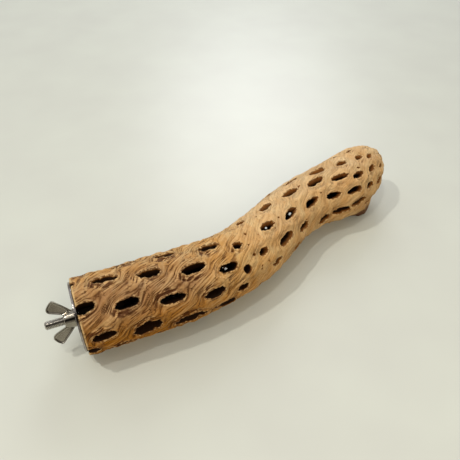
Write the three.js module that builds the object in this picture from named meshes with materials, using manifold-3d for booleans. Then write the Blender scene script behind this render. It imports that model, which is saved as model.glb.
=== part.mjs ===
// A cholla cactus skeleton: one hollow length of wood, grown as a net round
// lens-shaped eyes, sawn square at one end and rounded at the other. It has
// been made into a perch: a dowel in the sawn end holds a threaded stud, with
// a large disc washer and a wing nut on it.
//
// Units are millimetres. The stem lies on z = 0 with its sawn end at x = 0
// and runs along +X. The group is moved at the end so that its origin is at
// the bottom centre of its box.

import * as THREE from 'three';
import { mergeVertices } from 'three/addons/utils/BufferGeometryUtils.js';
import Module from 'manifold-3d';

const wasm = await Module();
wasm.setup();

// Stem: its line as seen from above, with the outer radius at each point.
const STEM_LINE = [
  { x: -24, y: 0, radius: 28.5 },
  { x: 0, y: 0, radius: 28.5 },
  { x: 40, y: 0, radius: 28.4 },
  { x: 83, y: 2.3, radius: 27.9 },
  { x: 124, y: 11, radius: 26.4 },
  { x: 154.5, y: 26.7, radius: 25.6 },
  { x: 183.5, y: 44.8, radius: 25.0 },
  { x: 214, y: 56.6, radius: 25.3 },
  { x: 238, y: 59.5, radius: 27.5 },
  { x: 262, y: 69, radius: 27.3 },
  { x: 293, y: 83.5, radius: 31.5 },
  { x: 318, y: 95, radius: 32 },
];
const WALL = 14;

// Rounded far end: where the wall starts to close, and how far it reaches.
const DOME_START = 263;
const DOME_LENGTH = 56;
const DOME_POWER = 1.95;
const DOME_STEPS = 60;
const TIP_RADIUS = 0.4;

// Eyes stand on one spiral, the growth spiral of the plant. Beyond the tight eye
// it rises less from one eye to the next.
const FIRST_EYE = { along: 31.8, angle: 43.6 };
const EYE_RISE = 3.5;
const EYE_TURN = 136.72;
const TIGHT_EYE_NUMBER = 58;
const TIGHT_EYE_RISE = 2.1;
const FIRST_EYE_NUMBER = -13;
const LAST_EYE_NUMBER = 95;
const NEIGHBOURS = [8, 5, -3, -8, -5, 3];
const SEED = 20517;
const ALONG_JITTER = 1.3;
const ANGLE_JITTER = 2.2;
const SIZE_JITTER = 0.12;
const TILT_JITTER = 7;

// The eyes crowd together round this angle, the more so towards the tip.
const CROWDED_ANGLE = 45;
const CROWDING = [
  { along: 225, turn: 8 },
  { along: 250, turn: 20 },
];

// Size of the eyes at stations along the stem: the bend has small ones.
const EYE_SIZES = [
  { along: -30, length: 18, width: 6.8 },
  { along: 84, length: 17.5, width: 6.8 },
  { along: 104, length: 13, width: 6.2 },
  { along: 122, length: 7.5, width: 5.4 },
  { along: 142, length: 9.5, width: 5.8 },
  { along: 160, length: 17, width: 7 },
  { along: 236, length: 16, width: 6.8 },
  { along: 250, length: 13, width: 5.6 },
  { along: 270, length: 11.5, width: 5.2 },
  { along: 285, length: 8.5, width: 4.8 },
  { along: 300, length: 6, width: 4 },
  { along: 318, length: 4, width: 3 },
];

// Eyes that the bend has pushed off the spiral, and small ones squeezed in.
const PUSHED_EYES = {
  18: { along: 3.5, angle: 3.5 },
  21: { along: 0, angle: 6 },
  24: { along: -3, angle: 10 },
  26: { along: -3, angle: 10 },
  32: { along: -2, angle: -7 },
  37: { along: -4, angle: 0 },
  45: { along: -4, angle: 1 },
  53: { along: 0, angle: 9 },
  60: { along: -5, angle: 6 },
  69: { along: -3, angle: -9 },
  76: { along: 6, angle: -2 },
};
const SQUEEZED_EYES = [
  { along: 117, angle: 59, width: 7.5 },
  { along: 127, angle: 108, width: 4.5 },
  { along: 131, angle: 218, width: 5 },
  { along: 137, angle: 304, width: 5.5 },
];
const SQUEEZED_SIDES = 9;

// Relief of the net: the crest between two eyes stands at the full radius.
const RIM_DROP = 1.7;
const SHOULDER_DROP = 0.55;
const GROOVE_DROP = 1.5;
const KNOT_DROP = 0.5;
const SHOULDER_REACH = 0.42;
const TUNNEL_TAPER = 0.82;

// Stub of an old side branch: a knob under the far end that touches the ground.
const STUB = { along: 272, angle: 143, height: 9.5, reachAlong: 12, reachAngle: 17 };

// Low spots under the stem, which stand it 0.3 clear of the ground elsewhere.
const REST_CLEARANCE = 0.3;
const REST_SPOTS = [
  { along: 22, angle: 180, height: 1.5, reachAlong: 16, reachAngle: 26 },
  { along: 124, angle: 180, height: 1.5, reachAlong: 16, reachAngle: 26 },
  { along: 264, angle: 182, height: 1.5, reachAlong: 16, reachAngle: 26 },
];

// Hardware, measured outwards from the sawn face: an M6 stud in a dowel, a
// large disc washer and a wing nut.
const FIT_GAP = 0.3;
const STUD_RADIUS = 3;
const STUD_REACH = 23.2;
const STUD_CHAMFER = 0.8;
const STUD_SIDES = 12;
const THREAD_PITCH = 1;
const THREAD_DEPTH = 0.5;
const THREAD_STEPS = 4;
const SHANK_RADIUS = 2.6;
const SHANK_DEPTH = 24;
const SHANK_POINT = 3;
const SOCKET_RADIUS = 15;
const DOWEL_LENGTH = 30;
const DOWEL_INSET = 0.5;
const DISC_RADIUS = 25;
const DISC_THICKNESS = 1.6;
const DISC_EDGE = 0.3;
const BORE_RADIUS = 3.3;
const NUT_HEIGHT = 8;
const NUT_BASE_RADIUS = 6.4;
const NUT_TOP_RADIUS = 5.3;
const NUT_CHAMFER = 0.5;
const WING_THICKNESS = 2.2;
const WING_EDGE = 0.45;
const WING_TIP_REACH = 16.4;
const WING_HEIGHT = 17.8;
const WING_ANGLE = 65;

const AXIS_HEIGHT = STEM_LINE[1].radius + REST_CLEARANCE;
const DISC_FACE = FIT_GAP + DISC_THICKNESS;
const NUT_FACE = DISC_FACE + FIT_GAP;

const toRadians = THREE.MathUtils.degToRad;

// Materials

const woodMaterial = new THREE.MeshStandardMaterial({ color: 0xc49a63, roughness: 0.8, metalness: 0 });
const dowelMaterial = new THREE.MeshStandardMaterial({ color: 0x6b4a2c, roughness: 0.85, metalness: 0 });
const steelMaterial = new THREE.MeshStandardMaterial({ color: 0xc7c7c9, roughness: 0.28, metalness: 1 });

// Solids

function toManifold(geometry) {
  const bare = geometry.clone();
  bare.deleteAttribute('normal');
  bare.deleteAttribute('uv');
  const merged = mergeVertices(bare, 1e-4);
  return new wasm.Manifold(new wasm.Mesh({
    numProp: 3,
    vertProperties: new Float32Array(merged.attributes.position.array),
    triVerts: new Uint32Array(merged.index.array),
  }));
}

function toGeometry(solid) {
  const mesh = solid.getMesh();
  const geometry = new THREE.BufferGeometry();
  geometry.setAttribute('position', new THREE.BufferAttribute(new Float32Array(mesh.vertProperties), 3));
  geometry.setIndex(new THREE.BufferAttribute(new Uint32Array(mesh.triVerts), 1));
  geometry.computeVertexNormals();
  return geometry;
}

function boxSolid(low, high) {
  const size = new THREE.Vector3().subVectors(high, low);
  const box = new THREE.BoxGeometry(size.x, size.y, size.z);
  box.translate((low.x + high.x) / 2, (low.y + high.y) / 2, (low.z + high.z) / 2);
  return toManifold(box);
}

// A closed profile of [radius, height] pairs turned about Z.
function turned(profile, segments) {
  const points = profile.map(([radius, height]) => new THREE.Vector2(radius, height));
  return new THREE.LatheGeometry(points, segments).rotateX(Math.PI / 2);
}

// A solid of rings along Z, whose radius is a function of height and angle.
function ringed(heights, sides, radiusAt) {
  const positions = [];
  const triangles = [];
  heights.forEach((height) => {
    for (let side = 0; side < sides; side += 1) {
      const angle = (2 * Math.PI * side) / sides;
      const radius = radiusAt(height, angle);
      positions.push(radius * Math.cos(angle), radius * Math.sin(angle), height);
    }
  });
  const lowest = positions.push(0, 0, heights[0]) / 3 - 1;
  const highest = positions.push(0, 0, heights[heights.length - 1]) / 3 - 1;
  const topRow = (heights.length - 1) * sides;
  for (let side = 0; side < sides; side += 1) {
    const next = (side + 1) % sides;
    for (let row = 0; row < topRow; row += sides) {
      triangles.push(row + side, row + next, row + sides + next);
      triangles.push(row + side, row + sides + next, row + sides + side);
    }
    triangles.push(lowest, next, side);
    triangles.push(highest, topRow + side, topRow + next);
  }
  const geometry = new THREE.BufferGeometry();
  geometry.setAttribute('position', new THREE.Float32BufferAttribute(positions, 3));
  geometry.setIndex(triangles);
  return geometry;
}

// Draws that stay the same on every run

function drawFor(number, channel) {
  const wave = Math.sin((number + 101) * 12.9898 + channel * 78.233 + SEED) * 43758.5453;
  return 2 * (wave - Math.floor(wave)) - 1;
}

function between(stations, along, key) {
  const last = stations[stations.length - 1];
  const next = stations.findIndex((station) => station.along > along);
  if (next === -1) return last[key];
  if (next === 0) return stations[0][key];
  const low = stations[next - 1];
  const high = stations[next];
  const share = (along - low.along) / (high.along - low.along);
  return low[key] + share * (high[key] - low[key]);
}

// The stem's line, its radius and its rounded end

const line = new THREE.CatmullRomCurve3(
  STEM_LINE.map(({ x, y, radius }) => new THREE.Vector3(x, y, radius)),
);
const lineLength = line.getLength();
const lineStart = -STEM_LINE[0].x;

function stemFrame(station) {
  const share = THREE.MathUtils.clamp((station + lineStart) / lineLength, 0, 1);
  const centre = line.getPointAt(share);
  const forward = line.getTangentAt(share).setZ(0).normalize();
  const radius = centre.z;
  centre.z = radius + REST_CLEARANCE;
  return { centre, forward, aside: new THREE.Vector3(forward.y, -forward.x, 0), radius };
}

function domeShare(station) {
  const into = (station - DOME_START) / DOME_LENGTH;
  return into <= 0 ? 1 : Math.max(0, 1 - into ** DOME_POWER) ** (1 / DOME_POWER);
}

// Distance measured over the surface, so that the eyes wrap over the dome.
const domeWalk = [{ along: DOME_START, station: DOME_START }];
for (let step = 1; step <= DOME_STEPS; step += 1) {
  const quarter = (step / DOME_STEPS) * (Math.PI / 2);
  const station = DOME_START + DOME_LENGTH * Math.sin(quarter);
  const before = domeWalk[step - 1];
  const fall = stemFrame(station).radius * (domeShare(station) - domeShare(before.station));
  domeWalk.push({ along: before.along + Math.hypot(station - before.station, fall), station });
}

function stationAt(along) {
  return along <= DOME_START ? along : between(domeWalk, along, 'station');
}

function swelling(spot, along, angle) {
  const sideways = turnNear(angle - spot.angle, 0);
  return Math.exp(-(((along - spot.along) / spot.reachAlong) ** 2 + (sideways / spot.reachAngle) ** 2));
}

function turnNear(angle, reference) {
  return angle - 360 * Math.round((angle - reference) / 360);
}

function pointRound({ centre, aside }, angle, reach) {
  const point = centre.clone();
  point.addScaledVector(aside, reach * Math.sin(toRadians(angle)));
  point.z += reach * Math.cos(toRadians(angle));
  return point;
}

// Outer surface: the relief is flattened out on the low spots and at the tip.
function outerPoint(along, angle, drop) {
  const station = stationAt(along);
  const frame = stemFrame(station);
  const closing = domeShare(station);
  const low = REST_SPOTS.map((spot) => ({ share: swelling(spot, along, angle), height: spot.height }));
  const lowShare = Math.max(...low.map(({ share }) => share));
  const lowHeight = Math.max(...low.map(({ share, height }) => share * height));
  const relief = drop * (1 - lowShare) * Math.min(1, 2 * closing);
  const reach = frame.radius * closing - relief + lowHeight + STUB.height * swelling(STUB, along, angle);
  return pointRound(frame, angle, Math.max(reach, TIP_RADIUS));
}

// Inner surface: the pith hollow, which ends one wall short of the tip.
function innerPoint(along, angle) {
  const station = stationAt(along);
  const into = Math.max(0, station - DOME_START);
  const frame = stemFrame(station - (into * WALL) / DOME_LENGTH);
  return pointRound(frame, angle, Math.max((frame.radius - WALL) * domeShare(station), TIP_RADIUS));
}

// Eyes and the cells of the net round them

function eyeAt(number) {
  const tight = Math.max(0, number - TIGHT_EYE_NUMBER);
  const plain = FIRST_EYE.along + EYE_RISE * (number - tight) + TIGHT_EYE_RISE * tight;
  const spiral = FIRST_EYE.angle + EYE_TURN * number;
  const crowded = between(CROWDING, plain, 'turn') * Math.sin(toRadians(spiral - CROWDED_ANGLE));
  const pushed = PUSHED_EYES[number] ?? { along: 0, angle: 0 };
  const length = between(EYE_SIZES, plain, 'length') * (1 + SIZE_JITTER * drawFor(number, 1));
  const width = between(EYE_SIZES, plain, 'width') * (1 + SIZE_JITTER * drawFor(number, 2));
  return {
    along: plain + pushed.along + ALONG_JITTER * drawFor(number, 3),
    angle: spiral - crowded + pushed.angle + ANGLE_JITTER * drawFor(number, 4),
    length,
    width,
    tilt: toRadians(TILT_JITTER * drawFor(number, 5)),
  };
}

function meanPlace(numbers, reference) {
  const eyes = numbers.map(eyeAt);
  const along = eyes.reduce((sum, eye) => sum + eye.along, 0) / eyes.length;
  const angle = eyes.reduce((sum, eye) => sum + turnNear(eye.angle, reference), 0) / eyes.length;
  return { along, angle };
}

function isEye(number) {
  return number >= FIRST_EYE_NUMBER && number <= LAST_EYE_NUMBER;
}

class NetMesh {
  constructor() {
    this.positions = [];
    this.triangles = [];
    this.known = new Map();
  }

  vertex(key, place) {
    if (!this.known.has(key)) {
      this.known.set(key, this.positions.length / 3);
      this.positions.push(...place().toArray());
    }
    return this.known.get(key);
  }

  quad(a, b, c, d) {
    this.triangles.push(a, b, c, a, c, d);
  }

  geometry() {
    const geometry = new THREE.BufferGeometry();
    geometry.setAttribute('position', new THREE.Float32BufferAttribute(this.positions, 3));
    geometry.setIndex(this.triangles);
    return geometry;
  }
}

// A cell's border: the middle of each side, then the corner after it. Shared
// points get the same name from every cell that meets there.
function borderOf(number, eye) {
  const border = [];
  NEIGHBOURS.forEach((step, side) => {
    const following = NEIGHBOURS[(side + 1) % NEIGHBOURS.length];
    const corner = [number, number + step, number + following].sort((a, b) => a - b);
    const previous = NEIGHBOURS[(side + NEIGHBOURS.length - 1) % NEIGHBOURS.length];
    const cornerBefore = [number, number + step, number + previous].sort((a, b) => a - b);
    const here = meanPlace(corner, eye.angle);
    const before = meanPlace(cornerBefore, eye.angle);
    border.push({
      key: `side ${[number, number + step].sort((a, b) => a - b)}`,
      along: (here.along + before.along) / 2,
      angle: (here.angle + before.angle) / 2,
      drop: Math.abs(step) === 8 ? GROOVE_DROP : 0,
      outside: !isEye(number + step),
    });
    border.push({ key: `corner ${corner}`, ...here, drop: KNOT_DROP });
  });
  return border;
}

function outlineOf(eye, count, scale) {
  const degreesPerMm = 360 / (2 * Math.PI * stemFrame(eye.along).radius);
  return Array.from({ length: count }, (_, index) => {
    const turn = -(2 * Math.PI * index) / count;
    const along = (scale * eye.length / 2) * Math.cos(turn);
    const across = (scale * eye.width / 2) * Math.sin(turn);
    return {
      along: eye.along + along * Math.cos(eye.tilt) - across * Math.sin(eye.tilt),
      angle: eye.angle + (along * Math.sin(eye.tilt) + across * Math.cos(eye.tilt)) * degreesPerMm,
      tip: Math.abs(Math.cos(turn)) ** 3,
    };
  });
}

function buildCell(net, number) {
  const eye = eyeAt(number);
  const border = borderOf(number, eye);
  const count = border.length;
  const rim = outlineOf(eye, count, 1);
  const mouth = outlineOf(eye, count, TUNNEL_TAPER);
  const rings = [[], [], [], [], []];
  border.forEach((spot, index) => {
    const edge = rim[index];
    const shoulder = {
      along: THREE.MathUtils.lerp(edge.along, spot.along, SHOULDER_REACH),
      angle: THREE.MathUtils.lerp(edge.angle, spot.angle, SHOULDER_REACH),
    };
    const shoulderDrop = THREE.MathUtils.lerp(SHOULDER_DROP, GROOVE_DROP, edge.tip);
    const inner = mouth[index];
    rings[0].push(net.vertex(`outer ${spot.key}`, () => outerPoint(spot.along, spot.angle, spot.drop)));
    rings[1].push(net.vertex(`shoulder ${number} ${index}`,
      () => outerPoint(shoulder.along, shoulder.angle, shoulderDrop)));
    rings[2].push(net.vertex(`rim ${number} ${index}`, () => outerPoint(edge.along, edge.angle, RIM_DROP)));
    rings[3].push(net.vertex(`mouth ${number} ${index}`, () => innerPoint(inner.along, inner.angle)));
    rings[4].push(net.vertex(`inner ${spot.key}`, () => innerPoint(spot.along, spot.angle)));
  });
  for (let ring = 0; ring + 1 < rings.length; ring += 1) {
    for (let index = 0; index < count; index += 1) {
      const next = (index + 1) % count;
      net.quad(rings[ring][index], rings[ring][next], rings[ring + 1][next], rings[ring + 1][index]);
    }
  }
  border.forEach((spot, index) => {
    if (!spot.outside) return;
    const before = (index + count - 1) % count;
    const after = (index + 1) % count;
    closeEdge(net, number, rings, before, index);
    closeEdge(net, number, rings, index, after);
  });
}

// The sawn end gets a wall from outside to inside, and the far tip a cap.
function closeEdge(net, number, rings, from, to) {
  const outer = rings[0];
  const inner = rings[4];
  if (number < LAST_EYE_NUMBER / 2) {
    net.quad(outer[to], outer[from], inner[from], inner[to]);
    return;
  }
  const tip = DOME_START + DOME_LENGTH;
  const outerTip = net.vertex('outer tip', () => stemFrame(tip).centre);
  const innerTip = net.vertex('inner tip', () => stemFrame(tip - WALL).centre);
  net.triangles.push(outer[to], outer[from], outerTip);
  net.triangles.push(inner[from], inner[to], innerTip);
}

// A plug that tapers inwards through the wall, to cut one of the squeezed eyes.
function squeezedEyeSolid({ along, angle, width }) {
  const frame = stemFrame(along);
  const start = pointRound(frame, angle, frame.radius - WALL - 4);
  const end = pointRound(frame, angle, frame.radius + 4);
  const narrow = (width / 2) * TUNNEL_TAPER;
  const plug = new THREE.CylinderGeometry(width / 2, narrow, start.distanceTo(end), SQUEEZED_SIDES);
  const outwards = new THREE.Vector3().subVectors(end, start).normalize();
  plug.applyQuaternion(new THREE.Quaternion().setFromUnitVectors(new THREE.Vector3(0, 1, 0), outwards));
  const middle = start.add(end).multiplyScalar(0.5);
  plug.translate(middle.x, middle.y, middle.z);
  return toManifold(plug);
}

function skeletonSolid() {
  const net = new NetMesh();
  for (let number = FIRST_EYE_NUMBER; number <= LAST_EYE_NUMBER; number += 1) {
    buildCell(net, number);
  }
  const reach = 400;
  const sawnOff = boxSolid(new THREE.Vector3(-reach, -reach, -reach), new THREE.Vector3(0, reach, reach));
  const ground = boxSolid(new THREE.Vector3(-reach, -reach, -reach), new THREE.Vector3(reach, reach, 0));
  const socketDepth = DOWEL_LENGTH + 2 * DOWEL_INSET;
  const socket = new THREE.CylinderGeometry(SOCKET_RADIUS, SOCKET_RADIUS, 2 * socketDepth, 32);
  socket.rotateZ(Math.PI / 2);
  socket.translate(0, 0, AXIS_HEIGHT);
  const cutters = [sawnOff, ground, toManifold(socket), ...SQUEEZED_EYES.map(squeezedEyeSolid)];
  return cutters.reduce((solid, cutter) => solid.subtract(cutter), toManifold(net.geometry()));
}

// Hardware, with its axis on Z and z = 0 at the sawn face

function dowelGeometry() {
  const radius = SOCKET_RADIUS - FIT_GAP;
  const bore = SHANK_RADIUS + FIT_GAP;
  const top = -DOWEL_INSET;
  const bottom = top - DOWEL_LENGTH;
  const boreEnd = -SHANK_DEPTH - FIT_GAP;
  const profile = [[0, bottom], [radius, bottom], [radius, top], [bore, top], [bore, boreEnd], [0, boreEnd]];
  return turned(profile, 32);
}

function studGeometry() {
  const heights = [-SHANK_DEPTH, -SHANK_DEPTH + SHANK_POINT, 0];
  const rows = Math.round((STUD_REACH / THREAD_PITCH) * THREAD_STEPS);
  for (let row = 1; row <= rows; row += 1) {
    heights.push((row * STUD_REACH) / rows);
  }
  return ringed(heights, STUD_SIDES, (height, angle) => {
    if (height <= -SHANK_DEPTH) return SHANK_RADIUS / 3;
    if (height <= 0) return SHANK_RADIUS;
    const turn = height / THREAD_PITCH - angle / (2 * Math.PI);
    const thread = STUD_RADIUS - THREAD_DEPTH * (0.5 - 0.5 * Math.cos(2 * Math.PI * turn));
    return Math.min(thread, STUD_RADIUS - STUD_CHAMFER + (STUD_REACH - height));
  });
}

function discGeometry() {
  const inner = DISC_RADIUS - DISC_EDGE;
  const low = FIT_GAP;
  const high = FIT_GAP + DISC_THICKNESS;
  return turned([
    [BORE_RADIUS, low], [inner, low], [DISC_RADIUS, low + DISC_EDGE],
    [DISC_RADIUS, high - DISC_EDGE], [inner, high], [BORE_RADIUS, high], [BORE_RADIUS, low],
  ], 56);
}

// One wing's outline, in distance from the axis and height above the nut's base.
function wingShape() {
  const shape = new THREE.Shape();
  shape.moveTo(BORE_RADIUS + 0.7, 1.4);
  shape.lineTo(6.3, 2.2);
  shape.quadraticCurveTo(9.2, 4.6, 15.2, 10.9);
  shape.quadraticCurveTo(WING_TIP_REACH + 0.6, 12.8, 15.3, 14.6);
  shape.quadraticCurveTo(12.8, 17.4, 10.9, WING_HEIGHT);
  shape.quadraticCurveTo(8.9, WING_HEIGHT, 7.9, 15.6);
  shape.lineTo(4.9, 8.3);
  shape.lineTo(BORE_RADIUS + 0.7, 7.2);
  shape.closePath();
  return shape;
}

function wingNutSolid() {
  const hub = toManifold(turned([
    [0, 0], [NUT_BASE_RADIUS - NUT_CHAMFER, 0], [NUT_BASE_RADIUS, NUT_CHAMFER],
    [NUT_TOP_RADIUS, NUT_HEIGHT - NUT_CHAMFER], [NUT_TOP_RADIUS - NUT_CHAMFER, NUT_HEIGHT], [0, NUT_HEIGHT],
  ], 28));
  const wing = new THREE.ExtrudeGeometry(wingShape(), {
    depth: WING_THICKNESS - 2 * WING_EDGE,
    bevelThickness: WING_EDGE,
    bevelSize: WING_EDGE,
    bevelOffset: -WING_EDGE,
    bevelSegments: 2,
    curveSegments: 5,
  });
  wing.translate(0, 0, WING_EDGE - WING_THICKNESS / 2);
  wing.rotateX(Math.PI / 2);
  const right = toManifold(wing);
  const left = toManifold(wing.clone().rotateZ(Math.PI));
  const bore = toManifold(turned([
    [0, -1], [BORE_RADIUS, -1], [BORE_RADIUS, NUT_HEIGHT + 1], [0, NUT_HEIGHT + 1],
  ], 28));
  return hub.add(right).add(left).subtract(bore);
}

// The perch, put together

function piece(name, geometry, material) {
  const mesh = new THREE.Mesh(geometry, material);
  mesh.name = name;
  return mesh;
}

const hardware = new THREE.Group();
hardware.position.set(0, 0, AXIS_HEIGHT);
hardware.rotation.y = -Math.PI / 2;
hardware.add(piece('end_dowel', dowelGeometry(), dowelMaterial));
hardware.add(piece('threaded_stud', studGeometry(), steelMaterial));
hardware.add(piece('disc_washer', discGeometry(), steelMaterial));

const wingNut = piece('wing_nut', toGeometry(wingNutSolid()), steelMaterial);
wingNut.position.z = NUT_FACE;
wingNut.rotation.z = toRadians(90 - WING_ANGLE);
hardware.add(wingNut);

const perch = new THREE.Group();
perch.add(piece('cholla_skeleton', toGeometry(skeletonSolid()), woodMaterial));
perch.add(hardware);
perch.updateMatrixWorld(true);

const box = new THREE.Box3().setFromObject(perch, true);
perch.position.set(-(box.min.x + box.max.x) / 2, -(box.min.y + box.max.y) / 2, -box.min.z);

export default perch;
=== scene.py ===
"""A perch made from a cholla cactus skeleton, with its steel hardware, in a plain studio.

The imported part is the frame. Each sub-assembly below builds a detailed mesh in the
place of its plain solid, dresses it in its finish and rides it on its body. Lengths
inside the classes are millimetres: x runs along the stem from the sawn face, y to
the stem's left and z up from the ground. They become metres when a mesh is made.
"""

import logging
import math
from collections.abc import Sequence
from dataclasses import dataclass, field
from enum import Enum

import bmesh
import bpy
import numpy as np
from bpy.types import Material, Mesh, Node, NodeSocket, NodeTree, Object
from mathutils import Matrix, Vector, kdtree


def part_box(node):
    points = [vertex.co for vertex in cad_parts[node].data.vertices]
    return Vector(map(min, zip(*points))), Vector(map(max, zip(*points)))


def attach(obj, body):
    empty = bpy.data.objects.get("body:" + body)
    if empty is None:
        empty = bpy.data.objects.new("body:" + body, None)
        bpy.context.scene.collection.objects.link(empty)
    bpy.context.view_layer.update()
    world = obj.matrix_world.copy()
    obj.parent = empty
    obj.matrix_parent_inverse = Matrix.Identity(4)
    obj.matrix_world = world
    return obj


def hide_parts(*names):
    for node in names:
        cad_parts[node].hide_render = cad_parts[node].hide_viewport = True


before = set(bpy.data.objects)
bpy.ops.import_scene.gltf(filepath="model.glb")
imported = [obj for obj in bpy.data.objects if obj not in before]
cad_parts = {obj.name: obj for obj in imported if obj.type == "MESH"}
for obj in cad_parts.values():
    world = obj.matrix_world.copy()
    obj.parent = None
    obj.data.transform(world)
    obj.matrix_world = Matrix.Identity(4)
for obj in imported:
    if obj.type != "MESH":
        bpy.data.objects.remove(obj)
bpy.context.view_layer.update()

# Numbers by row, two limits or sizes, and faces as numbers of points.
Array = np.ndarray
Pair = tuple[float, float]
Faces = list[tuple[int, ...]]

LOG = logging.getLogger("perch")
MM = 0.001
FULL_TURN = 360.0
TINY = 1e-9

# One seed for the wood, and odd factors that spread its draws evenly.
WOOD_SEED = 20517
DRAW_OFFSET = 101
DRAW_FACTORS = (12.9898, 78.233, 43758.5453)

# Sockets of the colour mix node, which has several that share a name.
MIX_SHARE, MIX_FROM, MIX_TO, MIX_RESULT = 0, 6, 7, 2


class Field(Enum):
    """What each point of the wood knows about its place in the plant."""

    FIBRE = "fibre"
    GROOVE = "groove"
    DEPTH = "depth"
    LIP = "lip"
    RUGGED = "rugged"
    GREY = "grey"
    GOLD = "gold"
    BLEACH = "bleach"
    STUB = "stub"
    SCALE = "scale"
    RIDGE = "ridge"


# What plain wood knows, where a row of points isn't told otherwise.
PLAIN_WOOD = {Field.GROOVE: 0, Field.DEPTH: 0, Field.LIP: 0, Field.SCALE: 0, Field.RIDGE: 1}


class Body(Enum):
    """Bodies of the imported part."""

    STEM = "stem"
    DISC = "disc"
    NUT = "nut"


def srgb(colour: str) -> tuple[float, float, float, float]:
    """Turns an sRGB hex colour into linear red, green, blue and alpha."""
    shares = [int(colour[start : start + 2], 16) / 255 for start in (1, 3, 5)]
    linear = [s / 12.92 if s <= 0.04045 else ((s + 0.055) / 1.055) ** 2.4 for s in shares]
    return (linear[0], linear[1], linear[2], 1.0)


def add_node(
    tree: NodeTree,
    kind: str,
    inputs: dict | None = None,
    stops: Sequence[tuple[float, str]] = (),
    **settings: object,
) -> Node:
    """Adds a node with its settings, values and links.

    Args:
        tree: The material's node tree.
        kind: Blender's name for the kind of node.
        inputs: Socket name or number to a value, or to the output that feeds it.
        stops: Place and hex colour of each stop, on a colour ramp.
        settings: The node's own properties.

    Returns:
        The new node.
    """
    node = tree.nodes.new(kind)
    for name, value in settings.items():
        setattr(node, name, value)
    for name, value in (inputs or {}).items():
        if isinstance(value, NodeSocket):
            tree.links.new(value, node.inputs[name])
        else:
            node.inputs[name].default_value = value
    for index, (place, colour) in enumerate(stops):
        ramp = node.color_ramp.elements
        stop = ramp[index] if index < 2 else ramp.new(place)
        stop.position = place
        stop.color = srgb(colour)
    return node


def new_material(name: str) -> tuple[Material, NodeTree, Node]:
    """Makes a node material and returns it with its tree and its main shader."""
    material = bpy.data.materials.new(name)
    material.use_nodes = True
    tree = material.node_tree
    return material, tree, tree.nodes["Principled BSDF"]


def smoothstep(low: float, high: float, value: Array) -> Array:
    """A smooth share from 0 at low to 1 at high."""
    share = np.clip((value - low) / (high - low), 0.0, 1.0)
    return share * share * (3 - 2 * share)


def apart(angle: Array | float, middle: float) -> Array | float:
    """How far an angle lies from another in degrees, the short way round."""
    return (angle - middle + FULL_TURN / 2) % FULL_TURN - FULL_TURN / 2


def bell(offset: Array, width: float) -> Array:
    """A soft peak: 1 at no offset, and down to about a third at the width."""
    return np.exp(-((offset / width) ** 2))


@dataclass
class FibreNoise:
    """Seeded gradient noise in space, from about -1 to 1, with lumps one unit apart."""

    seed: int
    # The lattice repeats after this many points, which is a power of two.
    lattice: int = 256
    gain: float = 1.6

    def __post_init__(self) -> None:
        """Draws the order of the lattice and a slope for each of its points."""
        drawn = np.random.default_rng(self.seed)
        self.order = drawn.permutation(self.lattice)
        slopes = drawn.normal(size=(self.lattice, 3))
        self.slopes = slopes / np.linalg.norm(slopes, axis=1, keepdims=True)

    def __call__(self, points: Array) -> Array:
        """Works out the noise.

        Args:
            points: Points in lumps, whose last axis is x, y, z.

        Returns:
            The noise at each.
        """
        flat = points.reshape(-1, 3)
        wrap = self.lattice - 1
        cell = np.floor(flat).astype(int)
        local = flat - cell
        fade = local**3 * (local * (local * 6 - 15) + 10)
        total = np.zeros(len(flat))
        for number in range(2**3):
            corner = np.array([number & 1, number >> 1 & 1, number >> 2 & 1])
            spot = (cell + corner) & wrap
            index = self.order[(self.order[spot[:, 0]] + spot[:, 1]) & wrap]
            index = self.order[(index + spot[:, 2]) & wrap]
            weight = np.prod(np.where(corner, fade, 1 - fade), axis=1)
            total += weight * ((local - corner) * self.slopes[index]).sum(axis=1)
        return self.gain * total.reshape(points.shape[:-1])


@dataclass(frozen=True)
class Place:
    """Where the part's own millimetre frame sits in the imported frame, in metres."""

    x: float
    y: float

    def to_row(self, points: Array) -> Array:
        """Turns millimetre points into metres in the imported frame."""
        return points * MM + np.array([self.x, self.y, 0.0])

    def from_axis(self, points: Array, height: float) -> Array:
        """Turns points of the hardware, which has its axis on Z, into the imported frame.

        Args:
            points: Millimetre points, with z counted outwards from the sawn face.
            height: The stud axis's height above the ground in millimetres.

        Returns:
            The points in metres, with the hardware's axis along -X.
        """
        turned = np.stack([-points[:, 2], points[:, 1], points[:, 0] + height], axis=1)
        return self.to_row(turned)


def object_from(
    name: str, points: Array, faces: Sequence[Sequence[int]], smooth: bool = True
) -> Object:
    """Makes a mesh object and puts it in the scene.

    Args:
        name: The object's name.
        points: Its points, in metres.
        faces: Its faces, as numbers of points.
        smooth: Whether its faces are shaded smooth.

    Returns:
        The object.
    """
    mesh = bpy.data.meshes.new(name)
    mesh.from_pydata(points.tolist(), [], [list(face) for face in faces])
    mesh.update()
    mesh.polygons.foreach_set("use_smooth", [smooth] * len(mesh.polygons))
    piece = bpy.data.objects.new(name, mesh)
    bpy.context.scene.collection.objects.link(piece)
    return piece


def apply_modifiers(piece: Object) -> None:
    """Replaces the piece's mesh by what its modifiers make of it.

    Args:
        piece: The piece.
    """
    graph = bpy.context.evaluated_depsgraph_get()
    made = bpy.data.meshes.new_from_object(piece.evaluated_get(graph), depsgraph=graph)
    piece.modifiers.clear()
    old = piece.data
    piece.data = made
    bpy.data.meshes.remove(old)


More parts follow.
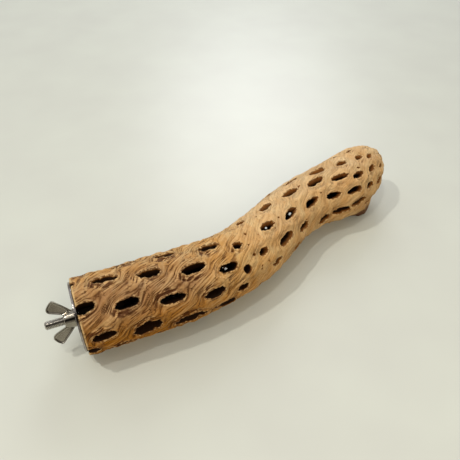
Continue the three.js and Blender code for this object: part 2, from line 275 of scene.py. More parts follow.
def lathe(profile: Sequence[Pair], segments: int) -> tuple[Array, Faces]:
    """Turns a closed profile of radius and height about Z.

    Args:
        profile: Radius and height of each point, in millimetres. A radius of 0 is a pole.
        segments: Number of steps round the axis.

    Returns:
        Points and faces of the closed mesh.
    """
    points: list[tuple[float, float, float]] = []
    rows: list[list[int]] = []
    for radius, height in profile:
        if radius <= 0:
            points.append((0.0, 0.0, height))
            rows.append([len(points) - 1] * segments)
            continue
        start = len(points)
        for step in range(segments):
            turn = math.tau * step / segments
            points.append((radius * math.cos(turn), radius * math.sin(turn), height))
        rows.append(list(range(start, start + segments)))
    faces = []
    for row, following in zip(rows, rows[1:] + rows[:1]):
        for step in range(segments):
            after = (step + 1) % segments
            ring = [row[step], row[after], following[after], following[step]]
            corners = tuple(dict.fromkeys(ring))
            if len(corners) > 2:
                faces.append(corners)
    return np.array(points), faces


def grid_faces(start: int, rows: int, width: int, closed: bool = True) -> Faces:
    """Quads between rows of points.

    Args:
        start: Number of the first point.
        rows: Number of rows.
        width: Number of points in each row.
        closed: Whether each row's last point joins its first.

    Returns:
        The faces.
    """
    faces = []
    for row in range(start, start + (rows - 1) * width, width):
        for step in range(width if closed else width - 1):
            after = (step + 1) % width
            faces.append((row + step, row + after, row + width + after, row + width + step))
    return faces


def tube_faces(start: int, rings: int, width: int) -> Faces:
    """Faces of a tube of rings that is closed at both ends.

    Args:
        start: Number of the first point.
        rings: Number of rings.
        width: Number of points in each ring.

    Returns:
        The faces.
    """
    last = start + (rings - 1) * width
    ends = tuple(reversed(range(start, start + width))), tuple(range(last, last + width))
    return [*grid_faces(start, rings, width), *ends]


def sharpen(piece: Object, degrees: float) -> None:
    """Keeps edges sharp where faces meet at more than an angle.

    Args:
        piece: The piece.
        degrees: The angle.
    """
    shape = bmesh.new()
    shape.from_mesh(piece.data)
    for edge in shape.edges:
        if len(edge.link_faces) == 2:
            edge.smooth = edge.calc_face_angle(0) < math.radians(degrees)
    shape.to_mesh(piece.data)
    shape.free()


def face_outwards(piece: Object) -> None:
    """Turns all faces of a closed piece outwards."""
    shape = bmesh.new()
    shape.from_mesh(piece.data)
    bmesh.ops.recalc_face_normals(shape, faces=shape.faces)
    shape.to_mesh(piece.data)
    shape.free()


@dataclass
class StemLine:
    """The bent line of the stem, its radius and its rounded end, in millimetres."""

    stations: tuple[tuple[float, float, float], ...] = (
        (-24, 0, 28.5), (0, 0, 28.5), (40, 0, 28.4), (83, 2.3, 27.9), (124, 11, 26.4),
        (154.5, 26.7, 25.6), (183.5, 44.8, 25.0), (214, 56.6, 25.3), (238, 59.5, 27.5),
        (262, 69, 27.3), (293, 83.5, 31.5), (318, 95, 32),
    )
    wall: float = 14.0
    dome_start: float = 263.0
    dome_length: float = 56.0
    dome_power: float = 1.95
    dome_steps: int = 60
    tip_radius: float = 0.4
    clearance: float = 0.3
    divisions: int = 200
    slope_step: float = 1e-4

    def __post_init__(self) -> None:
        """Measures the line, and the walk over the dome to its tip."""
        knots = np.array(self.stations)
        self.start = -knots[0, 0]
        before = 2 * knots[0] - knots[1]
        after = 2 * knots[-1] - knots[-2]
        self.knots = np.vstack([before, knots, after])
        shares = np.linspace(0, 1, self.divisions + 1)
        steps = np.linalg.norm(np.diff(self._curve(shares), axis=0), axis=1)
        self.shares = shares
        self.lengths = np.concatenate([[0.0], np.cumsum(steps)])
        quarter = np.linspace(0, math.pi / 2, self.dome_steps + 1)
        stations = self.dome_start + self.dome_length * np.sin(quarter)
        radius = self.at(stations)["radius"][1:]
        fall = radius * np.diff(self.dome_share(stations))
        walk = np.cumsum(np.hypot(np.diff(stations), fall))
        self.walk_stations = stations
        self.walk = self.dome_start + np.concatenate([[0.0], walk])

    def _curve(self, shares: Array) -> Array:
        """Evaluates the centripetal curve through the stations.

        Args:
            shares: Shares of the way along it, from 0 to 1.

        Returns:
            Its points, with the radius as third value.
        """
        count = len(self.knots) - 2
        scaled = np.clip(shares, 0, 1) * (count - 1)
        low = np.minimum(scaled.astype(int), count - 2)
        weight = (scaled - low)[:, None]
        p0, p1, p2, p3 = (self.knots[low + step] for step in range(4))
        gaps = [((b - a) ** 2).sum(axis=1) ** 0.25 for a, b in ((p0, p1), (p1, p2), (p2, p3))]
        d0, d1, d2 = (gap[:, None] for gap in gaps)
        leave = ((p1 - p0) / d0 - (p2 - p0) / (d0 + d1) + (p2 - p1) / d1) * d1
        arrive = ((p2 - p1) / d1 - (p3 - p1) / (d1 + d2) + (p3 - p2) / d2) * d1
        square = -3 * p1 + 3 * p2 - 2 * leave - arrive
        cube = 2 * p1 - 2 * p2 + leave + arrive
        return p1 + weight * (leave + weight * (square + weight * cube))

    def at(self, stations: Array) -> dict[str, Array]:
        """Measures the stem at stations.

        Args:
            stations: Distances along the line from the sawn face.

        Returns:
            The centre, the sideways direction and the radius at each.
        """
        wanted = np.clip((stations + self.start) / self.lengths[-1], 0, 1) * self.lengths[-1]
        shares = np.interp(wanted, self.lengths, self.shares)
        points = self._curve(shares)
        ahead = self._curve(shares + self.slope_step) - self._curve(shares - self.slope_step)
        forward = ahead[:, :2] / np.linalg.norm(ahead[:, :2], axis=1, keepdims=True)
        radius = points[:, 2]
        centre = np.column_stack([points[:, :2], radius + self.clearance])
        aside = np.column_stack([forward[:, 1], -forward[:, 0], np.zeros(len(radius))])
        return {"centre": centre, "aside": aside, "radius": radius}

    def dome_share(self, stations: Array) -> Array:
        """Share of the full radius that is left at stations on the rounded end."""
        into = np.clip((stations - self.dome_start) / self.dome_length, 0, 1)
        return (1 - into**self.dome_power) ** (1 / self.dome_power)

    def station_at(self, along: Array) -> Array:
        """Turns a distance walked over the surface into a station on the line."""
        walked = np.interp(along, self.walk, self.walk_stations)
        return np.where(along <= self.dome_start, along, walked)


class Grain(Enum):
    """The noises that shape the wood, each with its own seed."""

    OUTLINE = 0
    SWAY = 1
    BROAD = 2
    FINE = 3
    PATCH = 4
    SWELL = 5
    WOBBLE = 6
    CRUMB = 7


NOISES = {grain: FibreNoise(WOOD_SEED + grain.value) for grain in Grain}


def noise(grain: Grain, *axes: Array | float) -> Array:
    """Noise of one grain at places that are given axis by axis."""
    return NOISES[grain](np.stack(np.broadcast_arrays(*axes), axis=-1))


def along_fibres(grain: Grain, along: Array, across: Sequence[Array], size: Pair) -> Array:
    """Noise that is stretched along the fibres: its lumps' length and width are given."""
    run, gap = size
    return noise(grain, along / run, *(axis / gap for axis in across))


class Draw(Enum):
    """What is drawn at random for each eye."""

    LENGTH = 1
    WIDTH = 2
    ALONG = 3
    ANGLE = 4
    TILT = 5
    TEAR_CENTRE = 6
    TEAR_SPREAD = 7
    TEAR_STRENGTH = 8


def draw(number: int, kind: Draw) -> float:
    """A draw from -1 to 1 for one eye, the same on every run."""
    per_eye, per_kind, spread = DRAW_FACTORS
    wave = math.sin((number + DRAW_OFFSET) * per_eye + kind.value * per_kind + WOOD_SEED) * spread
    return 2 * (wave - math.floor(wave)) - 1


@dataclass(frozen=True)
class Eye:
    """One of the lens-shaped holes of the net."""

    number: int
    along: float
    angle: float
    length: float
    width: float
    tilt: float


@dataclass(frozen=True)
class Swelling:
    """A soft rise of the outer surface."""

    along: float
    angle: float
    height: float
    reach_along: float
    reach_angle: float

    def share(self, along: Array, angle: Array) -> Array:
        """How much of the rise stands at each place, from 0 to 1."""
        lengthwise = (along - self.along) / self.reach_along
        return np.exp(-(lengthwise**2 + (apart(angle, self.angle) / self.reach_angle) ** 2))


@dataclass
class GrowthSpiral:
    """The spiral on which the eyes grew, by millimetres along and degrees from the top."""

    first_eye: Pair = (31.8, 43.6)
    rise: float = 3.5
    turn: float = 136.72
    tight_number: int = 58
    tight_rise: float = 2.1
    numbers: tuple[int, int] = (-13, 95)
    neighbours: tuple[int, ...] = (8, 5, -3, -8, -5, 3)
    # Eyes this many numbers apart lie in line along the stem, with a groove between them.
    in_line: int = 8
    along_jitter: float = 1.3
    angle_jitter: float = 2.2
    size_jitter: float = 0.12
    tilt_jitter: float = 7.0
    crowded_angle: float = 45.0
    crowding: tuple[Pair, ...] = ((225, 8), (250, 20))
    # Along, and the length and width of an eye there.
    sizes: tuple[tuple[float, float, float], ...] = (
        (-30, 18.6, 7.3), (84, 18.2, 7.2), (104, 13, 6.2), (122, 7.5, 5.4), (142, 9.5, 5.8),
        (160, 17, 7), (236, 16, 6.8), (250, 13, 5.6), (270, 11.5, 5.2), (285, 8.5, 4.8),
        (300, 6, 4), (318, 4, 3),
    )
    # Eyes low on the near half are longer and wider.
    low_angle: float = 103.0
    low_spread: float = 22.0
    low_until: float = 100.0
    low_growth: Pair = (1.16, 1.7)
    # Eyes that grew off the spiral, with their push along and round.
    pushed: dict[int, Pair] = field(
        default_factory=lambda: {
            -5: (-2, 4.8), -3: (0.3, -5), 3: (0, 2.4), 5: (1.9, -5.4), 8: (2.3, 2.2),
            11: (0.5, 5), 13: (2.8, -1.7), 16: (1.4, 3.7), 18: (3.5, 3.5), 21: (0, 6),
            24: (-3, 10), 26: (-3, 10), 32: (-2, -7), 37: (-4, 0), 45: (-4, 1), 53: (0, 9),
            60: (-5, 6), 69: (-3, -9), 76: (6, -2),
        }
    )

    def __post_init__(self) -> None:
        """Places the eyes that have a cell and, beyond both ends, their neighbours."""
        first, last = self.numbers
        margin = max(self.neighbours)
        self.cells = range(first, last + 1)
        self.eyes = {n: self._eye(n) for n in range(first - margin, last + margin + 1)}

    def _eye(self, number: int) -> Eye:
        """Places one eye by the spiral's rule, its draws and its push.

        Args:
            number: The eye's number.

        Returns:
            The eye.
        """
        tight = max(0, number - self.tight_number)
        plain = self.first_eye[0] + self.rise * (number - tight) + self.tight_rise * tight
        spiral = self.first_eye[1] + self.turn * number
        swing = float(np.interp(plain, *zip(*self.crowding)))
        crowded = swing * math.sin(math.radians(spiral - self.crowded_angle))
        low = abs(apart(spiral, self.low_angle)) < self.low_spread and plain < self.low_until
        longer, wider = self.low_growth if low else (1.0, 1.0)
        along, *sizes = zip(*self.sizes)
        length, width = (float(np.interp(plain, along, size)) for size in sizes)
        push_along, push_angle = self.pushed.get(number, (0.0, 0.0))
        return Eye(
            number=number,
            along=plain + push_along + self.along_jitter * draw(number, Draw.ALONG),
            angle=spiral - crowded + push_angle + self.angle_jitter * draw(number, Draw.ANGLE),
            length=length * longer * (1 + self.size_jitter * draw(number, Draw.LENGTH)),
            width=width * wider * (1 + self.size_jitter * draw(number, Draw.WIDTH)),
            tilt=math.radians(self.tilt_jitter * draw(number, Draw.TILT)),
        )

    def corner(self, numbers: Sequence[int], reference: float) -> Array:
        """Finds the mean place of some eyes, with its angle near a reference.

        Args:
            numbers: Their numbers.
            reference: An angle in degrees.

        Returns:
            Along and angle.
        """
        eyes = [self.eyes[number] for number in numbers]
        along = sum(eye.along for eye in eyes) / len(eyes)
        turns = [e.angle - FULL_TURN * round((e.angle - reference) / FULL_TURN) for e in eyes]
        return np.array([along, sum(turns) / len(eyes)])

    def behind(self, eye: Eye) -> bool:
        """Whether an eye lies on the side away from the crowded one."""
        return math.cos(math.radians(eye.angle - self.crowded_angle)) < 0

    def lowness(self, eye: Eye) -> float:
        """1 for an eye that looks down below the crowded side, -1 for one opposite."""
        return float(-np.cos(np.radians(eye.angle - self.crowded_angle + FULL_TURN / 4)))


@dataclass(frozen=True)
class EyeOutline:
    """The uneven outline of an eye: a lens with lumps and small nicks."""

    lumps: float = 0.12
    lump_wave: float = 1.6
    lump_step: float = 7.31
    nicks: float = 0.8
    nick_wave: float = 2.3
    nick_step: float = 3.97

    def around(self, eye: Eye, radius: float, count: int, grow: float, scale: float = 1.0) -> Array:
        """Outline of an eye, in the order of its cell's border.

        Args:
            eye: The eye.
            radius: The stem's radius at the eye.
            count: Number of points.
            grow: Millimetres added all round.
            scale: Share of the eye's own size.

        Returns:
            Along and angle of the points.
        """
        turn = -math.tau * np.arange(count) / count
        cosine, sine = np.cos(turn), np.sin(turn)
        wave = cosine * self.lump_wave, sine * self.lump_wave
        lumps = noise(Grain.OUTLINE, *wave, eye.number * self.lump_step)
        finer = self.nick_wave * wave[0], self.nick_wave * wave[1]
        nicks = noise(Grain.SWAY, *finer, eye.number * self.nick_step)
        uneven = 1 + self.lumps * lumps
        grow = grow + self.nicks * nicks * scale
        along = (scale * eye.length / 2 * uneven + grow) * cosine
        across = (scale * eye.width / 2 * uneven + grow) * sine
        tilted = along * math.cos(eye.tilt) - across * math.sin(eye.tilt)
        beside = along * math.sin(eye.tilt) + across * math.cos(eye.tilt)
        per_mm = FULL_TURN / (math.tau * radius)
        return np.stack([eye.along + tilted, eye.angle + beside * per_mm], axis=1)


@dataclass(frozen=True)
class FibreChart:
    """Which fibre runs where: fibres slant round the stem and part round each eye."""

    radius: float = 28.0
    slant: float = -33.0
    parting: float = 0.85
    parting_from: float = 0.8

    def plain(self, places: Array) -> Array:
        """The fibre's own turn round the stem where nothing parts them, in radians."""
        rise = math.tan(math.radians(self.slant)) / self.radius
        return np.radians(places[..., 1]) - rise * places[..., 0]

    def parted(self, eye: Eye, places: Array, inward: Array) -> Array:
        """The fibre's own turn where fibres part round an eye like a stream.

        Args:
            eye: The eye that the fibres part round.
            places: Along and angle of each place.
            inward: How far each place is from the cell's border to the eye, from 0 to 1.

        Returns:
            The turns in radians.
        """
        slant = math.radians(self.slant)
        beside = np.radians(places[..., 1] - eye.angle) * self.radius
        offset = (places[..., 0] - eye.along + 1j * beside) * np.exp(-1j * eye.tilt)
        heading = slant - eye.tilt
        long_half, short_half = eye.length / 2, eye.width / 2
        focus = np.sqrt(offset**2 - (long_half**2 - short_half**2) + 0j)
        mapped = (offset + focus) / 2
        other = (offset - focus) / 2
        mapped = np.where(np.abs(mapped) >= np.abs(other), mapped, other)
        ring = (long_half + short_half) / 2
        size = np.maximum(np.abs(mapped), ring)
        mapped = mapped / np.maximum(np.abs(mapped), TINY) * size
        stream = (np.exp(-1j * heading) * mapped + np.exp(1j * heading) * ring**2 / mapped).imag
        straight = (np.exp(-1j * heading) * offset).imag
        pull = self.parting * smoothstep(0, self.parting_from, inward)
        parting = pull * (stream - straight) / (math.cos(slant) * self.radius)
        return self.plain(places) + parting

    def place(self, along: Array, fibre: Array, depth: Array | float) -> Array:
        """Place on the chart in millimetres, which joins up round the stem."""
        radius = math.cos(math.radians(self.slant)) * self.radius - depth
        return np.stack([along, radius * np.cos(fibre), radius * np.sin(fibre)], axis=-1)


@dataclass(frozen=True)
class Bundles:
    """One size of fibre bundle, in millimetres, and the furrows between the bundles."""

    grain: Grain
    run: float
    gap: float
    width: float
    depth: float
    # How dark the furrow's bottom is painted: painted shade.
    furrow_shade: float
    # Strength of the furrows, how it follows the patches, and its limits.
    usual: float
    by_patch: float
    limits: Pair


@dataclass(frozen=True)
class Furrows:
    """Furrows in two sizes, each strongest where the other is weak, on a soft swell."""

    bundles: tuple[Bundles, ...] = (
        Bundles(Grain.BROAD, 26.0, 2.3, 0.26, 0.85, 0.6, 0.6, 1.1, (0.05, 1.25)),
        Bundles(Grain.FINE, 17.0, 1.3, 0.2, 0.4, 0.3, 0.5, -0.9, (0.0, 1.0)),
    )
    sway: float = 0.055
    sway_lumps: Pair = (12.0, 8.0)
    patch_lumps: Pair = (22.0, 7.0)
    swell_lumps: Pair = (18.0, 5.0)
    swell_height: float = 0.6
    swell_bias: float = 0.6

    def cut(self, chart: Array) -> tuple[Array, Array, Array]:
        """Cuts the furrows.

        Args:
            chart: Places on the fibre chart.

        Returns:
            Depth of the furrows in millimetres before wear, how dark they are painted as
            shade, and the value that is 0 along the bottom of each broad furrow.
        """
        along, *rest = np.moveaxis(chart, -1, 0)
        sway = 1 + self.sway * along_fibres(Grain.SWAY, along, rest, self.sway_lumps)
        moved = [axis * sway for axis in rest]
        patch = along_fibres(Grain.PATCH, along, rest, self.patch_lumps)
        depth = dark = 0.0
        bottoms = []
        for size in self.bundles:
            bottom = along_fibres(size.grain, along, moved, (size.run, size.gap))
            strength = np.clip(size.usual + size.by_patch * patch, *size.limits)
            cut = bell(bottom, size.width) * strength
            depth = depth + size.depth * cut
            dark = dark + size.furrow_shade * cut
            bottoms.append(bottom)
        swell = along_fibres(Grain.SWELL, along, moved, self.swell_lumps) + self.swell_bias
        depth = depth + np.maximum(self.swell_height * swell, 0)
        return depth, np.clip(dark, 0, 1), bottoms[0]


@dataclass(frozen=True)
class TornArcs:
    """Torn arcs of fibre beside an eye, on the side that faces the sawn end and down."""

    depth: float = 1.9
    centre: float = 120.0
    centre_low: float = -125.0
    centre_jitter: float = 22.0
    spread: float = 56.0
    spread_jitter: float = 14.0
    strength_jitter: float = 0.25
    arc_gap: float = 2.1
    arc_height: float = 1.3
    arc_width: float = 0.66
    wobble: float = 0.8
    wobble_gap: float = 0.3
    lump_turn: float = 17.0
    lump_step: float = 3.7
    break_gap: float = 1.4
    break_turn: float = 1.3
    breaks: Pair = (-0.4, 0.1)
    begin: Pair = (0.2, 0.9)
    end: Pair = (3.6, 6.0)
    torn_share: float = 1.5

    def around(self, eye: Eye, low: bool, gap: Array) -> tuple[Array, Array]:
        """Tears the fibres beside an eye.

        Args:
            eye: The eye.
            low: Whether it looks down below the crowded side.
            gap: Distance of each ring's points from the eye's edge, in millimetres.

        Returns:
            Depth share of the tears, and the share of torn wood.
        """
        count = gap.shape[-1]
        turn = -math.tau * np.arange(count) / count
        facing = np.degrees(np.arctan2(np.sin(turn), np.cos(turn)))
        centre = self.centre_low if low else self.centre
        centre += self.centre_jitter * draw(eye.number, Draw.TEAR_CENTRE)
        spread = self.spread + self.spread_jitter * draw(eye.number, Draw.TEAR_SPREAD)
        strength = 1 + self.strength_jitter * draw(eye.number, Draw.TEAR_STRENGTH)
        window = bell(apart(facing, centre), spread) * strength
        across, shift = facing / self.lump_turn, self.lump_step * eye.number
        wobble = self.wobble * noise(Grain.WOBBLE, gap * self.wobble_gap, across, shift)
        broken = noise(Grain.SWELL, gap / self.break_gap, across * self.break_turn, shift)
        arcs = np.abs(np.sin(math.pi * (gap / self.arc_gap + wobble)))
        tears = np.clip(self.arc_height - arcs / self.arc_width, 0, 1)
        reach = smoothstep(*self.begin, gap) * (1 - smoothstep(*self.end, gap))
        broken = smoothstep(*self.breaks, broken)
        return tears * window * reach * broken, self.torn_share * window * reach


@dataclass(frozen=True)
class Crumbs:
    """Crumbled rims of the eyes, roughest where the wood is rugged or looks down."""

    gap: float = 3.0
    depth: float = 1.7
    reach: float = 1.6
    ball: float = 28.0
    low_share: float = 0.8
    least: float = 0.35

    def frayed(self, wear: Array, low_side: float) -> Array:
        """How frayed the rim is, from the wear and how low the eye looks."""
        return np.clip(wear + self.low_share * low_side, self.least, 1)

    def cut(self, places: Array, gap: Array, frayed: Array, inside: Array) -> Array:
        """Crumbles the rim of an eye.

        Args:
            places: Along and angle of the points.
            gap: Their distance from the eye's edge in millimetres.
            frayed: How frayed the rim is.
            inside: Share that is 0 on the cell's border.

        Returns:
            Depth of the crumbs in millimetres.
        """
        turn = np.radians(places[..., 1])
        ball = places[..., 0], self.ball * np.sin(turn), self.ball * np.cos(turn)
        crumbs = noise(Grain.CRUMB, *(axis / self.gap for axis in ball)) * self.depth * frayed
        return np.clip(crumbs, 0, None) * (bell(gap, self.reach) * inside)


@dataclass
class StemSurface:
    """The outer surface of the stem with its broad relief, and the pith hollow's wall."""

    line: StemLine = field(default_factory=StemLine)
    lump_gap: float = 5.5
    lump_depth: float = 0.8
    lump_bias: float = 0.6
    # Flesh over all but the underside, where the stem lies.
    lift: float = 1.0
    lifted: Pair = (-0.95, -0.6)
    dome_ease: float = 2.6
    dome_from: float = 0.35
    dome_until: float = 0.3
    stub: Swelling = Swelling(272, 143, 9.5, 12, 17)
    rests: tuple[Swelling, ...] = (
        Swelling(22, 180, 1.5, 16, 26),
        Swelling(124, 180, 1.5, 16, 26),
        Swelling(264, 182, 1.5, 16, 26),
    )
    socket_radius: float = 15.0
    socket_depth: float = 31.0
    pith_lump_gap: float = 5.0
    pith_lumps: float = 3.0
    pith_lump_depth: float = 0.5

    def outer(self, places: Array, drop: Array) -> Array:
        """Finds points of the outer surface.

        Args:
            places: Along and angle of the points.
            drop: How much each is lowered, in millimetres.

        Returns:
            The points.
        """
        along, angle = places[..., 0].ravel(), places[..., 1].ravel()
        station = self.line.station_at(along)
        at = self.line.at(station)
        closing = self.line.dome_share(station)
        shares = [rest.share(along, angle) for rest in self.rests]
        worn = (1 - np.max(shares, axis=0)) * np.minimum(1, 2 * closing)
        laid = np.max([s * r.height for s, r in zip(shares, self.rests)], axis=0)
        turn = np.radians(angle)
        ball = along, at["radius"] * np.sin(turn), at["radius"] * np.cos(turn)
        lumps = self.lump_bias + noise(Grain.FINE, *(axis / self.lump_gap for axis in ball))
        relief = (drop.ravel() + np.maximum(self.lump_depth * lumps, 0)) * worn
        eased = smoothstep(0, self.dome_from, 1 - closing) * smoothstep(0, self.dome_until, closing)
        relief = relief + self.dome_ease * eased
        raised = self.lift * smoothstep(*self.lifted, np.cos(turn)) * worn
        reach = at["radius"] * closing - relief + laid + raised
        reach = reach + self.stub.height * self.stub.share(along, angle)
        reach = np.maximum(reach, self.line.tip_radius)
        return self._round(at, turn, reach).reshape(*places.shape[:-1], 3)

    def inner(self, places: Array) -> Array:
        """Finds points of the pith hollow's wall, which ends one wall short of the tip.

        Args:
            places: Along and angle of the points.

        Returns:
            The points.
        """
        along, angle = places[..., 0].ravel(), places[..., 1].ravel()
        station = self.line.station_at(along)
        into = np.maximum(0, station - self.line.dome_start)
        at = self.line.at(station - into * self.line.wall / self.line.dome_length)
        reach = (at["radius"] - self.line.wall) * self.line.dome_share(station)
        turn = np.radians(angle)
        ring = np.sin(turn) * self.pith_lumps, np.cos(turn) * self.pith_lumps
        lumps = noise(Grain.CRUMB, along / self.pith_lump_gap, *ring)
        reach = np.maximum(reach + self.pith_lump_depth * lumps, self.line.tip_radius)
        reach = np.where(along < self.socket_depth, self.socket_radius, reach)
        return self._round(at, turn, reach).reshape(*places.shape[:-1], 3)

    def tip(self, inner: bool) -> Array:
        """The far end of the line, or of the pith hollow."""
        into = self.line.wall if inner else 0
        end = self.line.dome_start + self.line.dome_length - into
        return self.line.at(np.array([end]))["centre"]

    @staticmethod
    def _round(at: dict[str, Array], turn: Array, reach: Array) -> Array:
        """Points at a reach from the line, at a turn from straight up."""
        points = at["centre"] + at["aside"] * (reach * np.sin(turn))[:, None]
        points[:, 2] += reach * np.cos(turn)
        return points


@dataclass(frozen=True)
class Weathering:
    """How wear and colour change from place to place over the wood."""

    rugged_until: Pair = (88.0, 140.0)
    rugged_far: float = 0.3
    patch_run: float = 30.0
    patch_round: float = 1.5
    near_until: Pair = (60.0, 118.0)
    near_sway: float = 22.0
    worn_from: Pair = (95.0, 175.0)
    # Middle and reach round the stem, in degrees from the top.
    silver: Pair = (42.0, 52.0)
    golden: Pair = (105.0, 42.0)
    # The golden tone round the lower side is partly the wood's own and partly painted shade.
    sunny: Pair = (-20.0, 58.0)
    far_side: Pair = (0.45, 0.35)
    far_turn: float = 1.3
    # What a tone has away from its own side, and what patches add to it.
    grey_far: float = 0.3
    grey_patch: float = 0.25
    gold_worn: float = 0.25
    gold_patch: float = 0.3
    bleach_shaded: float = 0.35
    bleach_patch: float = 0.5
    stub_share: Pair = (0.12, 0.4)
    stub_side: Pair = (112.0, 132.0)

    def ruggedness(self, along: Array) -> Array:
        """1 on the rugged half next to the sawn end, less on the worn far half."""
        return 1 - (1 - self.rugged_far) * smoothstep(*self.rugged_until, along)

    def tones(self, places: Array, stub: Swelling) -> dict[Field, Array]:
        """Broad tones of the wood by place: silvered, golden, bleached, rugged, the stub.

        Args:
            places: Along and angle of the points.
            stub: Where the side branch stood.

        Returns:
            Share of each tone.
        """
        along, angle = places[..., 0], places[..., 1]
        turn = np.radians(angle)
        ring = self.patch_round * np.cos(turn), self.patch_round * np.sin(turn)
        patch = noise(Grain.PATCH, along / self.patch_run, *ring)
        near = 1 - smoothstep(*self.near_until, along + self.near_sway * patch)
        silver, golden, sunny = (
            bell(apart(angle, middle), reach)
            for middle, reach in (self.silver, self.golden, self.sunny)
        )
        level, swing = self.far_side
        far_side = level + swing * np.cos(turn - math.pi * self.far_turn)
        grey = near * (silver + self.grey_far * far_side) + self.grey_patch * patch * near
        gold = (self.gold_worn + (1 - self.gold_worn) * near) * golden + self.gold_patch * patch
        worn = smoothstep(*self.worn_from, along)
        lit = self.bleach_shaded + (1 - self.bleach_shaded) * sunny
        bleach = worn * lit * (1 + self.bleach_patch * patch)
        at_stub = smoothstep(*self.stub_share, stub.share(along, angle))
        return {
            Field.GREY: np.clip(grey, 0, 1),
            Field.GOLD: np.clip(gold, 0, 1),
            Field.BLEACH: np.clip(bleach, 0, 1),
            Field.RUGGED: self.ruggedness(along),
            Field.STUB: at_stub * smoothstep(*self.stub_side, np.mod(angle, FULL_TURN)),
        }


@dataclass(frozen=True)
class Borehole:
    """A small hole with no cell of its own: a squeezed eye, or a spine's pit."""

    along: float
    angle: float
    width: float
    depth: float
    stretch: float = 1.0
    slant: float = 0.0


@dataclass(frozen=True)
class LightPath:
    """A straight way through two eyes in line, where light shows through the stem."""

    start: tuple[float, float, float]
    end: tuple[float, float, float]
    width: float
    start_share: float = 0.35
    end_share: float = 0.5


@dataclass(frozen=True)
class SmallHoles:
    """The holes that are cut into the finished net, and the plugs that cut them."""

    squeezed: tuple[Borehole, ...] = (
        Borehole(117, 59, 7.5, 19), Borehole(127, 108, 4.5, 19), Borehole(131, 218, 5, 19),
        Borehole(137, 304, 5.5, 19),
    )
    pits: tuple[Borehole, ...] = (
        Borehole(131, 4, 1.9, 3.5), Borehole(126, 43, 2.4, 4.5), Borehole(127, 72, 1.9, 4.0),
        Borehole(165, 20, 1.8, 3.5), Borehole(153, 349, 1.8, 3.0),
    )
    paths: tuple[LightPath, ...] = (
        LightPath((115.2, 13.2, 18.1), (122.5, 32.0, -2.9), 3.2),
        LightPath((151.9, 20.1, 43.5), (175.8, 66.2, -2.7), 2.4),
        LightPath((180.0, 33.1, 38.8), (205.2, 75.5, -2.6), 3.4),
    )
    pit_count: int = 84
    pit_along: Pair = (104.0, 318.0)
    pit_width: Pair = (0.8, 1.7)
    pit_depth: Pair = (1.6, 3.6)
    pit_stretch: Pair = (1.0, 2.8)
    pit_slant: Pair = (-60.0, 20.0)
    sides: int = 14
    uneven: float = 0.16
    uneven_wave: float = 1.3
    uneven_steps: Pair = (9.7, 0.4)
    # A plug's rings: height above the surface and share of the width, then the same
    # for shares of the hole's depth.
    above: tuple[Pair, ...] = ((4.0, 1.15), (-0.6, 1.0))
    below: tuple[Pair, ...] = ((-0.5, 0.86), (-1.0, 0.7))

    def _holes(self) -> list[Borehole]:
        """The small holes: squeezed eyes, the pits by place and pits drawn at random."""
        drawn = np.random.default_rng(WOOD_SEED + 1)
        holes = [*self.squeezed, *self.pits]
        for _ in range(self.pit_count):
            width = drawn.uniform(*self.pit_width)
            holes.append(
                Borehole(
                    along=drawn.uniform(*self.pit_along),
                    angle=drawn.uniform(0, FULL_TURN),
                    width=width,
                    depth=drawn.uniform(*self.pit_depth),
                    stretch=drawn.uniform(*self.pit_stretch),
                    slant=drawn.uniform(*self.pit_slant),
                )
            )
        return holes

    def _ring(self) -> tuple[Array, Array]:
        """Cosine and sine of the corners of a plug."""
        angles = math.tau * np.arange(self.sides) / self.sides
        return np.cos(angles), np.sin(angles)

    def _plug(self, line: StemLine, number: int, hole: Borehole) -> list[Array]:
        """Makes the tapered plug that cuts one small hole.

        Args:
            line: The stem's line.
            number: The hole's number, which makes its outline its own.
            hole: The hole.

        Returns:
            The plug's rings.
        """
        station = line.station_at(np.array([hole.along]))
        at = {name: values[0] for name, values in line.at(station).items()}
        surface = float(at["radius"] * line.dome_share(station)[0])
        turn, slant = math.radians(hole.angle), math.radians(hole.slant)
        out = at["aside"] * math.sin(turn) + np.array([0, 0, math.cos(turn)])
        forward = np.array([-at["aside"][1], at["aside"][0], 0.0])
        ahead = forward * math.cos(slant) + np.cross(out, forward) * math.sin(slant)
        aside = np.cross(out, ahead)
        cosine, sine = self._ring()
        levels = [*self.above, *((share * hole.depth, scale) for share, scale in self.below)]
        per_hole, per_level = self.uneven_steps
        rings = []
        for level, (height, scale) in enumerate(levels):
            wave = cosine * self.uneven_wave, sine * self.uneven_wave
            uneven = noise(Grain.OUTLINE, *wave, per_hole * number + per_level * level)
            reach = hole.width / 2 * scale * (1 + self.uneven * uneven)
            centre = at["centre"] + out * (surface + height)
            along = (reach * hole.stretch * cosine)[:, None] * ahead
            rings.append(centre + along + (reach * sine)[:, None] * aside)
        return rings

    def _rod(self, path: LightPath) -> list[Array]:
        """Makes the rod that opens one way for light.

        Args:
            path: The way.

        Returns:
            The rod's rings.
        """
        start, end = np.array(path.start), np.array(path.end)
        ahead = (end - start) / np.linalg.norm(end - start)
        across = np.cross(ahead, (0, 0, 1))
        across /= np.linalg.norm(across)
        cosine, sine = self._ring()
        ring = np.outer(cosine, across) + np.outer(sine, np.cross(ahead, across))
        shares = ((start, path.start_share), (end, path.end_share))
        return [centre + ring * path.width * share for centre, share in shares]

    def cutters(self, line: StemLine) -> Object:
        """Makes all plugs and rods as one object.

        Args:
            line: The stem's line.

        Returns:
            The plugs and rods.
        """
        tubes = [self._plug(line, number, hole) for number, hole in enumerate(self._holes())]
        tubes += [self._rod(path) for path in self.paths]
        faces: Faces = []
        start = 0
        for rings in tubes:
            faces += tube_faces(start, len(rings), self.sides)
            start += len(rings) * self.sides
        points = np.concatenate([ring for rings in tubes for ring in rings])
        plugs = object_from("plugs", points, faces)
        face_outwards(plugs)
        return plugs


